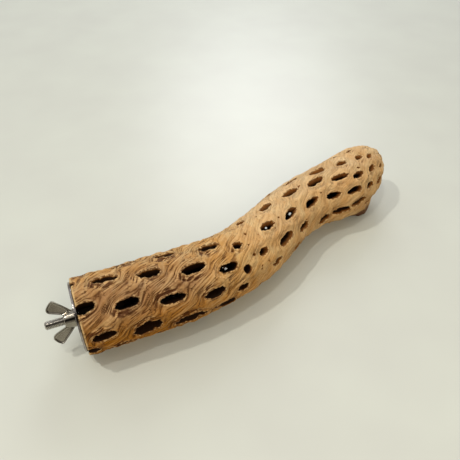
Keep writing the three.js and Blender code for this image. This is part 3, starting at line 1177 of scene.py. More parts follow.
@dataclass
class Rings:
    """Rows of points of the wood, and what each point knows."""

    points: list[Array] = field(default_factory=list)
    known: dict[Field, list[Array]] = field(default_factory=lambda: {f: [] for f in Field})

    def add(self, points: Array, chart: Array, told: dict[Field, Array | float]) -> None:
        """Adds a row of points, or several.

        Args:
            points: The points.
            chart: Their places on the fibre chart.
            told: What they know, where it isn't what plain wood knows.
        """
        width = points.shape[-2]
        self.points.append(points.reshape(-1, width, 3))
        self.known[Field.FIBRE].append(chart.reshape(-1, width, 3))
        for name, usual in PLAIN_WOOD.items():
            values = np.broadcast_to(told.get(name, usual), points.shape[:-1])
            self.known[name].append(values.reshape(-1, width))

    def joined(self) -> tuple[Array, dict[Field, Array]]:
        """All points by row, and what they know."""
        known = {name: np.concatenate(rows) for name, rows in self.known.items() if rows}
        return np.concatenate(self.points), known


@dataclass
class NetMesh:
    """The net's points, fields and faces, as its grids are put together."""

    points: list[Array] = field(default_factory=list)
    known: dict[Field, list[Array]] = field(default_factory=lambda: {f: [] for f in Field})
    faces: Faces = field(default_factory=list)
    total: int = 0

    def add(self, points: Array, known: dict[Field, Array], closed: bool) -> None:
        """Adds a grid of points with the faces between its rows.

        Args:
            points: The points by row.
            known: What each point knows.
            closed: Whether each row's last point joins its first.
        """
        rows, width = points.shape[:2]
        self.faces += grid_faces(self.total, rows, width, closed)
        self.points.append(points.reshape(-1, 3))
        for name in Field:
            self.known[name].append(known[name].reshape(rows * width, *known[name].shape[2:]))
        self.total += rows * width

    def to_object(self, name: str) -> Object:
        """Makes the mesh object, with its fields as attributes of the points."""
        piece = object_from(name, np.concatenate(self.points), self.faces)
        for knows in Field:
            set_field(piece.data, knows, np.concatenate(self.known[knows]))
        return piece


def field_layout(name: Field) -> tuple[str, str, int]:
    """Blender's type of a field, the key of its values and how many a point has."""
    return ("FLOAT_VECTOR", "vector", 3) if name is Field.FIBRE else ("FLOAT", "value", 1)


def set_field(mesh: Mesh, name: Field, values: Array) -> None:
    """Writes a field as an attribute of a mesh, in place of one of the same name.

    Args:
        mesh: The mesh.
        name: The field.
        values: Its value at each point.
    """
    kind, key, _ = field_layout(name)
    stale = mesh.attributes.get(name.value)
    if stale is not None:
        mesh.attributes.remove(stale)
    layer = mesh.attributes.new(name.value, kind, "POINT")
    layer.data.foreach_set(key, values.astype(np.float32).ravel())


def get_field(mesh: Mesh, name: Field) -> Array:
    """Reads a field back from a mesh.

    Args:
        mesh: The mesh.
        name: The field.

    Returns:
        Its values, one row for each point.
    """
    _, key, width = field_layout(name)
    values = np.zeros(len(mesh.vertices) * width, np.float32)
    mesh.attributes[name.value].data.foreach_get(key, values)
    return values.reshape(-1, width)


def points_of(mesh: Mesh) -> Array:
    """The points of a mesh, one row for each."""
    points = np.zeros(len(mesh.vertices) * 3)
    mesh.vertices.foreach_get("co", points)
    return points.reshape(-1, 3)


@dataclass
class CactusNet:
    """The wood: a hollow net of fibres round its eyes, one cell of mesh round each eye."""

    spiral: GrowthSpiral = field(default_factory=GrowthSpiral)
    surface: StemSurface = field(default_factory=StemSurface)
    outline: EyeOutline = EyeOutline()
    chart: FibreChart = FibreChart()
    furrows: Furrows = Furrows()
    arcs: TornArcs = TornArcs()
    crumbs: Crumbs = Crumbs()
    weather: Weathering = Weathering()
    holes: SmallHoles = SmallHoles()

    # Drops below the crest between two eyes, which stands at the full radius.
    crest_drop: float = 0.12
    rim_drop: float = 1.7
    shoulder_drop: float = 0.55
    groove_drop: float = 1.5
    knot_drop: float = 0.5
    shoulder_reach: float = 0.42
    rim_overshoot: float = 1.15
    tip_sharpness: int = 3
    lip_rugged: float = 0.4
    lip_worn: float = 0.6
    lip_most: float = 0.25
    lip_groove: float = 0.1
    lip_width: float = 0.9
    # What shows of a groove's painted shade where the wood is worn, and of a lip that isn't frayed.
    groove_worn: float = 0.25
    lip_whole: float = 0.45
    tunnel_taper: float = 0.82
    bulge: Pair = (0.05, 0.07)
    bulge_waves: tuple[float, float, float] = (0.45, 4.0, 5.1)
    squash: float = 0.47
    # Shares of the way from a cell's border to its eye.
    relief_from: float = 0.3
    furrow_until: Pair = (0.7, 0.98)
    furrow_loss: float = 0.8
    low_side: Pair = (0.0, 0.8)
    # How much sooner the painted shade starts in eyes on the low side.
    low_side_shade: float = 1.6

    # Mesh: points per twelfth of a cell's border, and rings from border to hollow.
    per_twelfth: int = 4
    rings_rugged: int = 19
    rings_worn: int = 14
    rings_behind: int = 10
    rings_tip: int = 9
    tip_start: float = 285.0
    cap_rows: int = 6
    lip_rings: int = 2
    tunnel_rings: int = 2

    sawn_chamfer: float = 0.8
    sawn_skin: float = 1.2
    weld: float = 0.004
    hair: float = 1e-3
    cut_tolerance: float = 1e-4
    depth_step: float = 2.0

    def _border(self, eye: Eye) -> tuple[Array, Array, list[bool]]:
        """Border of an eye's cell.

        Args:
            eye: The eye in the middle of the cell.

        Returns:
            Along and angle of each border point, its drop below the crest, and for
            each side of the cell whether nothing lies beyond it.
        """
        neighbours = self.spiral.neighbours
        sides = len(neighbours)
        corners, crests = [], []
        for side, step in enumerate(neighbours):
            numbers = (eye.number, eye.number + step, eye.number + neighbours[(side + 1) % sides])
            corners.append(self.spiral.corner(sorted(numbers), eye.angle))
            in_line = abs(step) == self.spiral.in_line
            crests.append(self.groove_drop if in_line else self.crest_drop)
        steps = 2 * self.per_twelfth
        places, drops = [], []
        for side in range(sides):
            following = (side + 1) % sides
            for point in range(self.per_twelfth, steps + self.per_twelfth):
                share = point / steps
                if share > 1:
                    start, end, crest = corners[side], corners[following], crests[following]
                    share -= 1
                    knotted = 1 - float(smoothstep(0, 1, np.array(2 * share)))
                else:
                    start, end, crest = corners[side - 1], corners[side], crests[side]
                    knotted = float(smoothstep(0, 1, np.array(2 * share - 1)))
                places.append(start + share * (end - start))
                drops.append(crest + (self.knot_drop - crest) * knotted)
        outside = [eye.number + step not in self.spiral.cells for step in neighbours]
        return np.array(places), np.array(drops), outside

    def _rings(self, eye: Eye) -> int:
        """Counts a cell's rings of skin: most where the rugged side has most to show.

        Args:
            eye: The eye.

        Returns:
            The number.
        """
        if eye.along > self.tip_start:
            return self.rings_tip
        if self.spiral.behind(eye):
            return self.rings_behind
        rugged = eye.along < self.weather.rugged_until[1]
        return self.rings_rugged if rugged else self.rings_worn

    def _lip(self, eye: Eye) -> float:
        """Sizes an eye's lip: tight where the wood is rugged, softer where it's worn.

        Args:
            eye: The eye.

        Returns:
            The radius in millimetres.
        """
        rugged = float(self.weather.ruggedness(np.array(eye.along)))
        lip = self.lip_worn + (self.lip_rugged - self.lip_worn) * rugged
        return min(lip, self.lip_most * eye.width)

    def _cell(self, number: int) -> tuple[Array, dict[Field, Array]]:
        """Builds the rings of one cell, from the border over the lip to the pith hollow.

        Args:
            number: The eye's number.

        Returns:
            Points by ring, and what each point knows.
        """
        eye = self.spiral.eyes[number]
        border, border_drop, _ = self._border(eye)
        count = len(border)
        radius = float(self.surface.line.at(np.array([eye.along]))["radius"][0])
        lip = self._lip(eye)
        low_side = float(smoothstep(*self.low_side, np.array(self.spiral.lowness(eye))))
        edge = self.outline.around(eye, radius, count, lip)
        rings = Rings()
        skin, fibre, lip_drop = self._skin(rings, eye, border, border_drop, edge, lip, low_side)
        places = skin[-1]
        for step in range(1, self.lip_rings + 1):
            bend = math.pi / 2 * step / self.lip_rings
            depth = lip * (1 - math.cos(bend))
            places = self.outline.around(eye, radius, count, lip * (1 - math.sin(bend)))
            told = {Field.GROOVE: self.lip_groove, Field.DEPTH: depth, Field.LIP: 1}
            chart = self.chart.place(places[:, 0], fibre, 0)
            rings.add(self.surface.outer(places, lip_drop + depth), chart, told)
        inside = self.outline.around(eye, radius, count, 0.0, self.tunnel_taper)
        mouth = self.surface.inner(inside)
        rim = rings.points[-1][0]
        middle = (rim.mean(axis=0) + mouth.mean(axis=0)) / 2
        least, swing = self.bulge
        per_point, per_depth, per_eye = self.bulge_waves
        for step in range(1, self.tunnel_rings + 1):
            into = step / self.tunnel_rings
            ring = rim + into * (mouth - rim)
            if step < self.tunnel_rings:
                waves = np.arange(count) * per_point, into * per_depth, number * per_eye
                bulge = swing * noise(Grain.WOBBLE, *waves) + least
                ring = ring + (ring - middle) * bulge[:, None]
            depth = self.surface.line.wall * into
            rings.add(ring, self.chart.place(places[:, 0], fibre, depth), {Field.DEPTH: depth})
        depth = self.surface.line.wall
        chart = self.chart.place(border[:, 0], fibre, depth)
        rings.add(self.surface.inner(border), chart, {Field.DEPTH: depth})
        points, known = rings.joined()
        # Painted shade: eyes on the low side get less light, so their depth counts for more and
        # they are painted dark nearer their rim.
        known[Field.DEPTH] = known[Field.DEPTH] * (1 + self.low_side_shade * low_side)
        # What lies below the skin takes the tones of the skin's last ring.
        below = np.repeat(skin[-1:], len(points) - len(skin), axis=0)
        tones = self.weather.tones(np.concatenate([skin, below]), self.surface.stub)
        return points, known | tones

    def _skin(
        self,
        rings: Rings,
        eye: Eye,
        border: Array,
        border_drop: Array,
        edge: Array,
        lip: float,
        low_side: float,
    ) -> tuple[Array, Array, Array]:
        """Adds the rings of a cell's outer skin, from its border to the eye's edge.

        Args:
            rings: What the rings are added to.
            eye: The eye.
            border: Along and angle of the cell's border.
            border_drop: Drop of each border point below the crest.
            edge: Along and angle of the eye's edge.
            lip: Radius of the eye's lip.
            low_side: How far the eye looks down, from 0 to 1.

        Returns:
            Places of the skin by ring, and the fibre and the drop at its last ring.
        """
        count = len(border)
        tip = np.abs(np.cos(math.tau * np.arange(count) / count)) ** self.tip_sharpness
        steps = self._rings(eye)
        inward = (np.arange(steps + 1) / steps)[:, None]
        skin = border + inward[..., None] * (edge - border)
        shoulder = self.shoulder_drop + (self.groove_drop - self.shoulder_drop) * tip
        turn_over = 1 - self.shoulder_reach
        drop = border_drop + (shoulder - border_drop) * smoothstep(0, turn_over, inward)
        rolled = smoothstep(turn_over, self.rim_overshoot, inward)
        drop = drop + (self.rim_drop - lip - shoulder) * rolled
        fibre = self.chart.parted(eye, skin, inward)
        chart = self.chart.place(skin[..., 0], fibre, 0)
        furrow, dark, ridge = self.furrows.cut(chart)
        wear = self.weather.ruggedness(skin[..., 0])
        across = (skin[0, :, 1] - edge[:, 1]) * self.squash
        gap = (1 - inward) * np.hypot(skin[0, :, 0] - edge[:, 0], across)
        inside = smoothstep(0, self.relief_from, inward)
        tears, torn = self.arcs.around(eye, self.spiral.lowness(eye) > 0, gap)
        furrow = furrow * wear * (1 - self.furrow_loss * smoothstep(*self.furrow_until, inward))
        frayed = self.crumbs.frayed(wear, low_side)
        drop = drop + self.crumbs.cut(skin, gap, frayed, inside)
        points = self.surface.outer(skin, drop + furrow + self.arcs.depth * (tears * wear * inside))
        told = {
            Field.GROOVE: dark * (self.groove_worn + (1 - self.groove_worn) * wear),
            Field.LIP: bell(gap, self.lip_width) * (self.lip_whole + (1 - self.lip_whole) * frayed),
            Field.SCALE: np.clip(torn * wear * inside, 0, 1),
            Field.RIDGE: ridge,
        }
        rings.add(points, chart, told)
        return skin, fibre[-1], drop[-1] + furrow[-1]

    def _tip_cap(self, number: int, side: int, inner: bool) -> tuple[Array, dict[Field, Array]]:
        """Carries one open side of a cell at the far end on to the tip.

        Args:
            number: The eye's number.
            side: The open side.
            inner: Whether this is the wall of the hollow.

        Returns:
            Points by row, and what each point knows.
        """
        border, drop, _ = self._border(self.spiral.eyes[number])
        first = (2 * side - 1) * self.per_twelfth
        chosen = [(first + step) % len(border) for step in range(2 * self.per_twelfth + 1)]
        share = (np.arange(self.cap_rows + 1) / self.cap_rows)[:, None]
        start, turn = border[chosen].T
        along = start + share * (float(self.surface.line.walk[-1]) - start)
        places = np.stack([along, np.broadcast_to(turn, along.shape)], axis=-1)
        depth = self.surface.line.wall if inner else 0.0
        fibre = self.chart.plain(places)
        if inner:
            points = self.surface.inner(places)
        else:
            furrow = self.furrows.cut(self.chart.place(along, fibre, 0))[0]
            furrow = furrow * self.weather.ruggedness(along)
            points = self.surface.outer(places, (drop[chosen] + furrow) * (1 - share))
        points[-1] = self.surface.tip(inner)
        rings = Rings()
        rings.add(points, self.chart.place(along, fibre, depth), {Field.DEPTH: depth})
        points, known = rings.joined()
        return points, known | self.weather.tones(places, self.surface.stub)

    def _assemble(self) -> NetMesh:
        """Puts all cells together, and closes the far end outside and inside."""
        net = NetMesh()
        last = self.spiral.cells[-1]
        for number in self.spiral.cells:
            net.add(*self._cell(number), closed=True)
            if number <= last / 2:
                continue
            for side, step in enumerate(self.spiral.neighbours):
                if number + step in self.spiral.cells:
                    continue
                for inner in (False, True):
                    net.add(*self._tip_cap(number, side, inner), closed=False)
        return net

    def mesh_object(self, place: Place, skin: Material, cut: Material) -> Object:
        """Builds the whole net as one closed mesh.

        Args:
            place: Where the millimetre frame sits.
            skin: Material of the grown surface.
            cut: Material of the sawn end.

        Returns:
            The wood, with its fields as attributes.
        """
        piece = self._assemble().to_object("cholla_wood_net")
        piece.data.materials.append(skin)
        piece.data.materials.append(cut)
        self._saw(piece)
        self._bore(piece)
        # The wood takes its place, and its fibres stay within the box of its plain solid.
        low, high = (np.array(corner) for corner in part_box("cholla_skeleton"))
        placed = np.clip(place.to_row(points_of(piece.data)), low, high)
        piece.data.vertices.foreach_set("co", placed.ravel())
        piece.data.update()
        return piece

    def _saw(self, piece: Object) -> None:
        """Welds the cells, cuts the near end square, fills the cut and eases its edge.

        Args:
            piece: The wood.
        """
        shape = bmesh.new()
        shape.from_mesh(piece.data)
        bmesh.ops.remove_doubles(shape, verts=shape.verts, dist=self.weld)
        for along, outwards in ((self.sawn_chamfer, 1), (0, -1)):
            bmesh.ops.bisect_plane(
                shape,
                geom=[*shape.verts, *shape.edges, *shape.faces],
                dist=self.cut_tolerance,
                plane_co=(along, 0, 0),
                plane_no=(outwards, 0, 0),
                clear_outer=outwards < 0,
            )
        depth = shape.verts.layers.float[Field.DEPTH.value]
        line = self.surface.line
        centre = Vector((0, 0, line.stations[1][2] + line.clearance))
        edges = [
            edge
            for edge in shape.edges
            if edge.is_boundary and all(abs(vertex.co.x) < self.hair for vertex in edge.verts)
        ]
        for vertex in {vertex for edge in edges for vertex in edge.verts}:
            if vertex[depth] < self.sawn_skin:
                vertex.co += (centre - vertex.co).normalized() * self.sawn_chamfer
                vertex.co.x = 0
        filled = bmesh.ops.triangle_fill(shape, use_beauty=True, use_dissolve=False, edges=edges)
        for made in filled["geom"]:
            if isinstance(made, bmesh.types.BMFace):
                made.material_index = 1
                made.smooth = False
                for edge in made.edges:
                    edge.smooth = False
        bmesh.ops.recalc_face_normals(shape, faces=shape.faces)
        shape.to_mesh(piece.data)
        shape.free()

    def _bore(self, piece: Object) -> None:
        """Cuts the small holes, and gives the cut mesh its fields back.

        Args:
            piece: The wood.
        """
        before = piece.data.copy()
        cutters = self.holes.cutters(self.surface.line)
        cutters.data.materials.append(before.materials[0])
        cut = piece.modifiers.new("small_holes", "BOOLEAN")
        cut.operation = "DIFFERENCE"
        cut.object = cutters
        cut.solver = "MANIFOLD"
        apply_modifiers(piece)
        bpy.data.objects.remove(cutters)
        self._remember(piece.data, before)
        bpy.data.meshes.remove(before)

    def _remember(self, mesh: Mesh, before: Mesh) -> None:
        """Gives the cut mesh the fields of the nearest points before the cut.

        Args:
            mesh: The cut mesh.
            before: The mesh before the cut.
        """
        tree = kdtree.KDTree(len(before.vertices))
        for index, point in enumerate(points_of(before)):
            tree.insert(point, index)
        tree.balance()
        points = points_of(mesh)
        found = [tree.find(point) for point in points]
        nearest = np.array([index for _, index, _ in found])
        fresh = [index for index, (_, _, distance) in enumerate(found) if distance > self.hair]
        for name in Field:
            values = get_field(before, name)[nearest]
            if name is Field.DEPTH:
                values[fresh, 0] = np.maximum(values[fresh, 0], self._depth(points[fresh]))
            set_field(mesh, name, values)

    def _depth(self, points: Array) -> Array:
        """Measures how deep points lie, here those on the walls of the small holes.

        Args:
            points: The points.

        Returns:
            Their depths in millimetres.
        """
        line = self.surface.line
        stations = line.station_at(np.arange(0, line.walk[-1], self.depth_step))
        at = line.at(stations)
        full = at["radius"] * line.dome_share(stations)
        distance = np.linalg.norm(at["centre"] - points[:, None], axis=2)
        near = np.argmin(distance, axis=1)
        return full[near] - distance[np.arange(len(points)), near]


@dataclass(frozen=True)
class Pattern:
    """Noise in a finish, by the size of its lumps in millimetres."""

    size: float
    detail: float = 3.0
    roughness: float = 0.5
    stretch: tuple[float, float, float] = (1.0, 1.0, 1.0)

    def build(self, tree: NodeTree, source: NodeSocket, unit: float = MM) -> NodeSocket:
        """Adds the pattern to a material.

        Args:
            tree: The material's node tree.
            source: The coordinates that it lies in.
            unit: What a millimetre measures in those coordinates.

        Returns:
            The pattern's value.
        """
        squeeze = tuple(1 / times for times in self.stretch)
        laid = add_node(tree, "ShaderNodeMapping", {"Vector": source, "Scale": squeeze})
        sizes = {
            "Vector": laid.outputs["Vector"],
            "Scale": 1 / (self.size * unit),
            "Detail": self.detail,
            "Roughness": self.roughness,
        }
        return add_node(tree, "ShaderNodeTexNoise", sizes).outputs["Fac"]


@dataclass(frozen=True)
class Mask:
    """A share that goes from 0 to 1 between two limits of a value, within other shares."""

    name: str
    source: str
    low: float
    high: float
    within: tuple[str, ...] = ()

    def build(self, tree: NodeTree, values: dict[str, NodeSocket]) -> NodeSocket:
        """Adds the mask to a material.

        Args:
            tree: The material's node tree.
            values: The values and masks that the material has so far.

        Returns:
            The mask's share.
        """
        limits = {"Value": values[self.source], "From Min": self.low, "From Max": self.high}
        share = add_node(
            tree, "ShaderNodeMapRange", limits, interpolation_type="SMOOTHSTEP"
        ).outputs["Result"]
        for other in self.within:
            both = {0: share, 1: values[other]}
            share = add_node(tree, "ShaderNodeMath", both, operation="MULTIPLY").outputs[0]
        return share


@dataclass(frozen=True)
class WeatheredCactusWood:
    """Cholla wood that weather has bared: fibrous, matt, silvered where it was rained on."""

    tan: str = "#cc9c5a"
    cream: str = "#e6cb92"
    honey: str = "#cf984a"
    bleached: str = "#efd9b2"
    streak: str = "#93662c"
    line: str = "#6c3f08"
    grey: str = "#8f6d54"
    # Golden tone, partly the wood's own and partly painted shade on the lower side.
    gold: str = "#9a6200"
    # Painted shade in the furrows.
    groove: str = "#5a3207"
    # Painted shade at the bottoms of the furrows.
    crease_shade: str = "#502904"
    fleck: str = "#a8763a"
    # Pale band along the sawn edge, partly a painted highlight.
    sawn_edge_pale_and_highlight: str = "#e2c28a"
    # Torn wood, and the painted shade of nicks at the rims.
    torn: str = "#4a2207"
    # Painted shade inside the holes: wall is the darker brown just below the lip, dark the near
    # black further in.
    wall: str = "#864d10"
    # Painted highlight on the crests between furrows; also the pale of chips and lips.
    crest: str = "#dfba84"
    dark: str = "#080402"
    stub: str = "#43190a"
    roughness: float = 0.62
    specular_level: float = 0.22

    # Patterns on the fibre chart. Fibres are about 0.5 mm thick and run for tens of
    # millimetres. They are drawn a little coarser, so that they show.
    patterns: tuple[tuple[str, Pattern], ...] = (
        ("clouds", Pattern(9.0909, 4.0)),
        ("bands", Pattern(6.6667, 2.0)),
        ("patches", Pattern(4.1667, 2.0)),
        ("mottle", Pattern(1.6667, 4.0, 0.7)),
        ("bundles", Pattern(1.3333, 3.0, 0.6, (16.667, 1.0, 1.0))),
        ("threads", Pattern(0.8, 4.0, 0.65, (16.667, 1.0, 1.0))),
        ("strokes", Pattern(1.6129, 2.0, 0.5, (3.333, 1.0, 1.0))),
    )
    # Rims are frayed: dark nicks and pale splinters over a millimetre apart. The nicks are painted
    # shade of small notches.
    frays: Pattern = Pattern(1.6129, 2.0)
    fray_share: float = 1.7
    # Painted shade in the holes starts just below the lip on the rugged half, and deeper on the
    # worn half, whose walls show.
    sooner: float = 2.0
    masks: tuple[Mask, ...] = (
        Mask("pale", "clouds", 0.38, 0.64),
        Mask("honeyed", "bands", 0.5, 0.36),
        Mask("streaked", "bundles", 0.52, 0.72),
        # Lines come in bands, with smoother wood of a few millimetres between them.
        Mask("banded", "bands", 0.4, 0.56),
        Mask("lined", "threads", 0.54, 0.7, ("rugged", "banded")),
        # The bottoms of the furrows are creases about 0.4 mm wide, in patches, painted dark as
        # their shade.
        Mask("patchy", "patches", 0.36, 0.54),
        Mask("crease_shaded", "off_crease", 0.17, 0.03, ("rugged", "patchy")),
        # Painted highlight where the furrows' crests stand.
        Mask("crest_highlight", "off_crease", 0.3, 0.62),
        # Weather leaves the smooth part mottled, with flecks over a millimetre wide.
        Mask("flecked", "mottle", 0.5, 0.66),
        # Paler towards the sawn edge: partly a painted highlight.
        Mask("sawn_edge_pale_and_highlight", "along", 1.5, 0.7),
        Mask("splintered", "frays", 0.5, 0.4, ("lip",)),
        # Painted shade of small notches at the rims.
        Mask("nick_shade", "at_rim", 1.72, 1.84),
        # Torn wood beside the eyes: dark strokes, a few millimetres long, on pale chips.
        Mask("torn", "strokes", 0.46, 0.53, ("scale",)),
        Mask("chipped", "strokes", 0.47, 0.4, ("scale",)),
        # Painted shade inside the holes, by depth.
        Mask("wall_shade", "depth", 0.3, 1.6),
        Mask("hole_shade", "hole_shade_depth", 1.2, 5.0),
    )
    bundle_height: float = 0.6
    crease_height: float = -0.5
    bump: float = 0.9
    bump_height: float = 0.9

    def build(self) -> Material:
        """Makes the material: layers of colour, each where its mask or field lets it show."""
        material, tree, shader = new_material("weathered_cholla_wood_and_painted_light")
        values = self._values(tree)
        for mask in self.masks:
            values[mask.name] = mask.build(tree, values)
        # Some layers are painted light: shade in furrows, creases, nicks, holes and on the lower
        # side, and highlights on crests and the sawn edge.
        layers = (
            (self.cream, "pale", 0.55), (self.honey, "honeyed", 0.5),
            (self.bleached, "bleach", 0.45), (self.streak, "streaked", 0.45),
            (self.fleck, "flecked", 0.5), (self.grey, "grey", 0.6), (self.gold, "gold", 0.88),
            (self.line, "lined", 0.6), (self.groove, "groove", 0.5), (self.crest, "crest_highlight", 0.4),
            (self.gold, "gold", 0.45), (self.crease_shade, "crease_shaded", 0.8), (self.crest, "lip", 0.1),
            (self.cream, "splintered", 0.35), (self.torn, "nick_shade", 0.7),
            (self.sawn_edge_pale_and_highlight, "sawn_edge_pale_and_highlight", 0.75), (self.crest, "chipped", 0.5),
            (self.torn, "torn", 0.85), (self.stub, "stub", 0.9), (self.wall, "wall_shade", 0.9),
            (self.dark, "hole_shade", 0.95),
        )
        colour: object = srgb(self.tan)
        for hexed, mask_name, strength in layers:
            shown = {0: values[mask_name], 1: strength}
            weight = add_node(tree, "ShaderNodeMath", shown, operation="MULTIPLY").outputs[0]
            mixed = {MIX_SHARE: weight, MIX_FROM: colour, MIX_TO: srgb(hexed)}
            colour = add_node(tree, "ShaderNodeMix", mixed, data_type="RGBA").outputs[MIX_RESULT]
        tree.links.new(colour, shader.inputs["Base Color"])
        height = values["threads"]
        for name, share in (("bundles", self.bundle_height), ("crease_shaded", self.crease_height)):
            summed = {0: values[name], 1: share, 2: height}
            height = add_node(tree, "ShaderNodeMath", summed, operation="MULTIPLY_ADD").outputs[0]
        relief = {"Height": height, "Strength": self.bump, "Distance": self.bump_height * MM}
        bump = add_node(tree, "ShaderNodeBump", relief)
        tree.links.new(bump.outputs["Normal"], shader.inputs["Normal"])
        shader.inputs["Roughness"].default_value = self.roughness
        shader.inputs["Specular IOR Level"].default_value = self.specular_level
        return material

    def _values(self, tree: NodeTree) -> dict[str, NodeSocket]:
        """Adds what the masks are made from: the wood's fields, the patterns and sums of them.

        Args:
            tree: The material's node tree.

        Returns:
            The values by name.
        """
        known = {
            name: add_node(tree, "ShaderNodeAttribute", attribute_name=name.value) for name in Field
        }
        values = {name.value: node.outputs["Fac"] for name, node in known.items()}
        chart = known[Field.FIBRE].outputs["Vector"]
        for name, pattern in self.patterns:
            values[name] = pattern.build(tree, chart, unit=1.0)
        place = add_node(tree, "ShaderNodeNewGeometry").outputs["Position"]
        values["frays"] = self.frays.build(tree, place)
        values["along"] = add_node(tree, "ShaderNodeSeparateXYZ", {"Vector": chart}).outputs["X"]
        sums = (
            ("off_crease", "ABSOLUTE", {0: values["ridge"]}),
            ("at_rim", "MULTIPLY_ADD", {0: values["frays"], 1: self.fray_share, 2: values["lip"]}),
            ("hastened", "MULTIPLY", {0: values["rugged"], 1: self.sooner}),
        )
        for name, operation, inputs in sums:
            node = add_node(tree, "ShaderNodeMath", inputs, operation=operation)
            values[name] = node.outputs[0]
        # Depth that counts for more on the rugged half, for the painted shade in the holes.
        deeper = {0: values["depth"], 1: values["hastened"]}
        values["hole_shade_depth"] = add_node(tree, "ShaderNodeMath", deeper, operation="MULTIPLY").outputs[0]
        return values


def finish_surface(
    tree: NodeTree,
    shader: Node,
    tone: tuple[NodeSocket, Sequence[tuple[float, str]]],
    relief: tuple[NodeSocket, float, float],
) -> None:
    """Gives a plain finish its colours and its bump.

    Args:
        tree: The material's node tree.
        shader: Its main shader.
        tone: A value, and the place and hex colour of each stop along it.
        relief: A height, the bump's strength and its height in millimetres.
    """
    value, stops = tone
    ramp = add_node(tree, "ShaderNodeValToRGB", {"Fac": value}, stops=stops)
    tree.links.new(ramp.outputs["Color"], shader.inputs["Base Color"])
    height, strength, rise = relief
    sizes = {"Height": height, "Strength": strength, "Distance": rise * MM}
    bump = add_node(tree, "ShaderNodeBump", sizes)
    tree.links.new(bump.outputs["Normal"], shader.inputs["Normal"])


@dataclass(frozen=True)
class SawnCactusWood:
    """The fresh cut across the wood: pale and matt, with dark pores in patches."""

    pale: str = "#dcbb88"
    pore: str = "#9a6b3c"
    # Pores are about 0.4 mm across, and are drawn at 0.7 mm so that they show.
    pores: Pattern = Pattern(0.7143)
    patches: Pattern = Pattern(5.5556)
    roughness: float = 0.8

    def build(self) -> Material:
        """Makes the material from pores in the plane of the cut."""
        material, tree, shader = new_material("sawn_cholla_wood")
        place = add_node(tree, "ShaderNodeNewGeometry").outputs["Position"]
        pores = self.pores.build(tree, place)
        patched = {0: pores, 1: self.patches.build(tree, place)}
        both = add_node(tree, "ShaderNodeMath", patched, operation="MULTIPLY").outputs[0]
        tone = (both, ((0.14, self.pore), (0.3, self.pale)))
        finish_surface(tree, shader, tone, (pores, 0.5, 0.3))
        shader.inputs["Roughness"].default_value = self.roughness
        return material


@dataclass(frozen=True)
class StainlessSteel:
    """Stainless steel as rolled, stamped or cast: bright, with the tool's fine marks."""

    name: str
    tint: str = "#cfccc6"
    shade: str = "#a9a59e"
    roughness: float = 0.2
    roughness_range: Pair = (0.7, 1.5)
    # The marks are finer than this on real steel, and are drawn so that they show.
    marks: Pattern = Pattern(1.1111, 4.0)
    smears: Pattern = Pattern(8.3333)
    bump: float = 0.1
    bump_height: float = 0.1

    def build(self) -> Material:
        """Makes the material from the tool's marks and from smears of handling."""
        material, tree, shader = new_material(self.name)
        # The piece's own coordinates, so that the marks move with the disc and the nut.
        place = add_node(tree, "ShaderNodeTexCoord").outputs["Object"]
        marks = self.marks.build(tree, place)
        tone = (self.smears.build(tree, place), ((0.3, self.shade), (0.62, self.tint)))
        finish_surface(tree, shader, tone, (marks, self.bump, self.bump_height))
        low, high = (self.roughness * share for share in self.roughness_range)
        spread = {"Value": marks, "To Min": low, "To Max": high}
        rough = add_node(tree, "ShaderNodeMapRange", spread)
        tree.links.new(rough.outputs["Result"], shader.inputs["Roughness"])
        shader.inputs["Metallic"].default_value = 1.0
        return material


@dataclass(frozen=True)
class TurnedDowel:
    """A beech dowel, turned and left rough, near black with painted shade as it lies deep in the
    hollow.
    """

    # Both tones are painted shade: near black.
    light: str = "#1c120a"
    dark: str = "#0d0805"
    # Beech grain lines are about a millimetre apart.
    grain: Pattern = Pattern(1.0, stretch=(12.5, 1.0, 1.0))
    roughness: float = 0.8

    def build(self) -> Material:
        """Makes the material from grain along the dowel."""
        material, tree, shader = new_material("turned_beech_painted_shade")
        place = add_node(tree, "ShaderNodeNewGeometry").outputs["Position"]
        grain = self.grain.build(tree, place)
        tone = (grain, ((0.35, self.dark), (0.65, self.light)))
        finish_surface(tree, shader, tone, (grain, 0.4, 0.3))
        shader.inputs["Roughness"].default_value = self.roughness
        return material


@dataclass
class Stem:
    """The wood of the perch, which replaces its plain solid."""

    place: Place
    net: CactusNet = field(default_factory=CactusNet)

    def build(self) -> Object:
        """Builds and dresses the wood."""
        finishes = WeatheredCactusWood().build(), SawnCactusWood().build()
        wood = self.net.mesh_object(self.place, *finishes)
        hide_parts("cholla_skeleton")
        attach(wood, Body.STEM.value)
        return wood


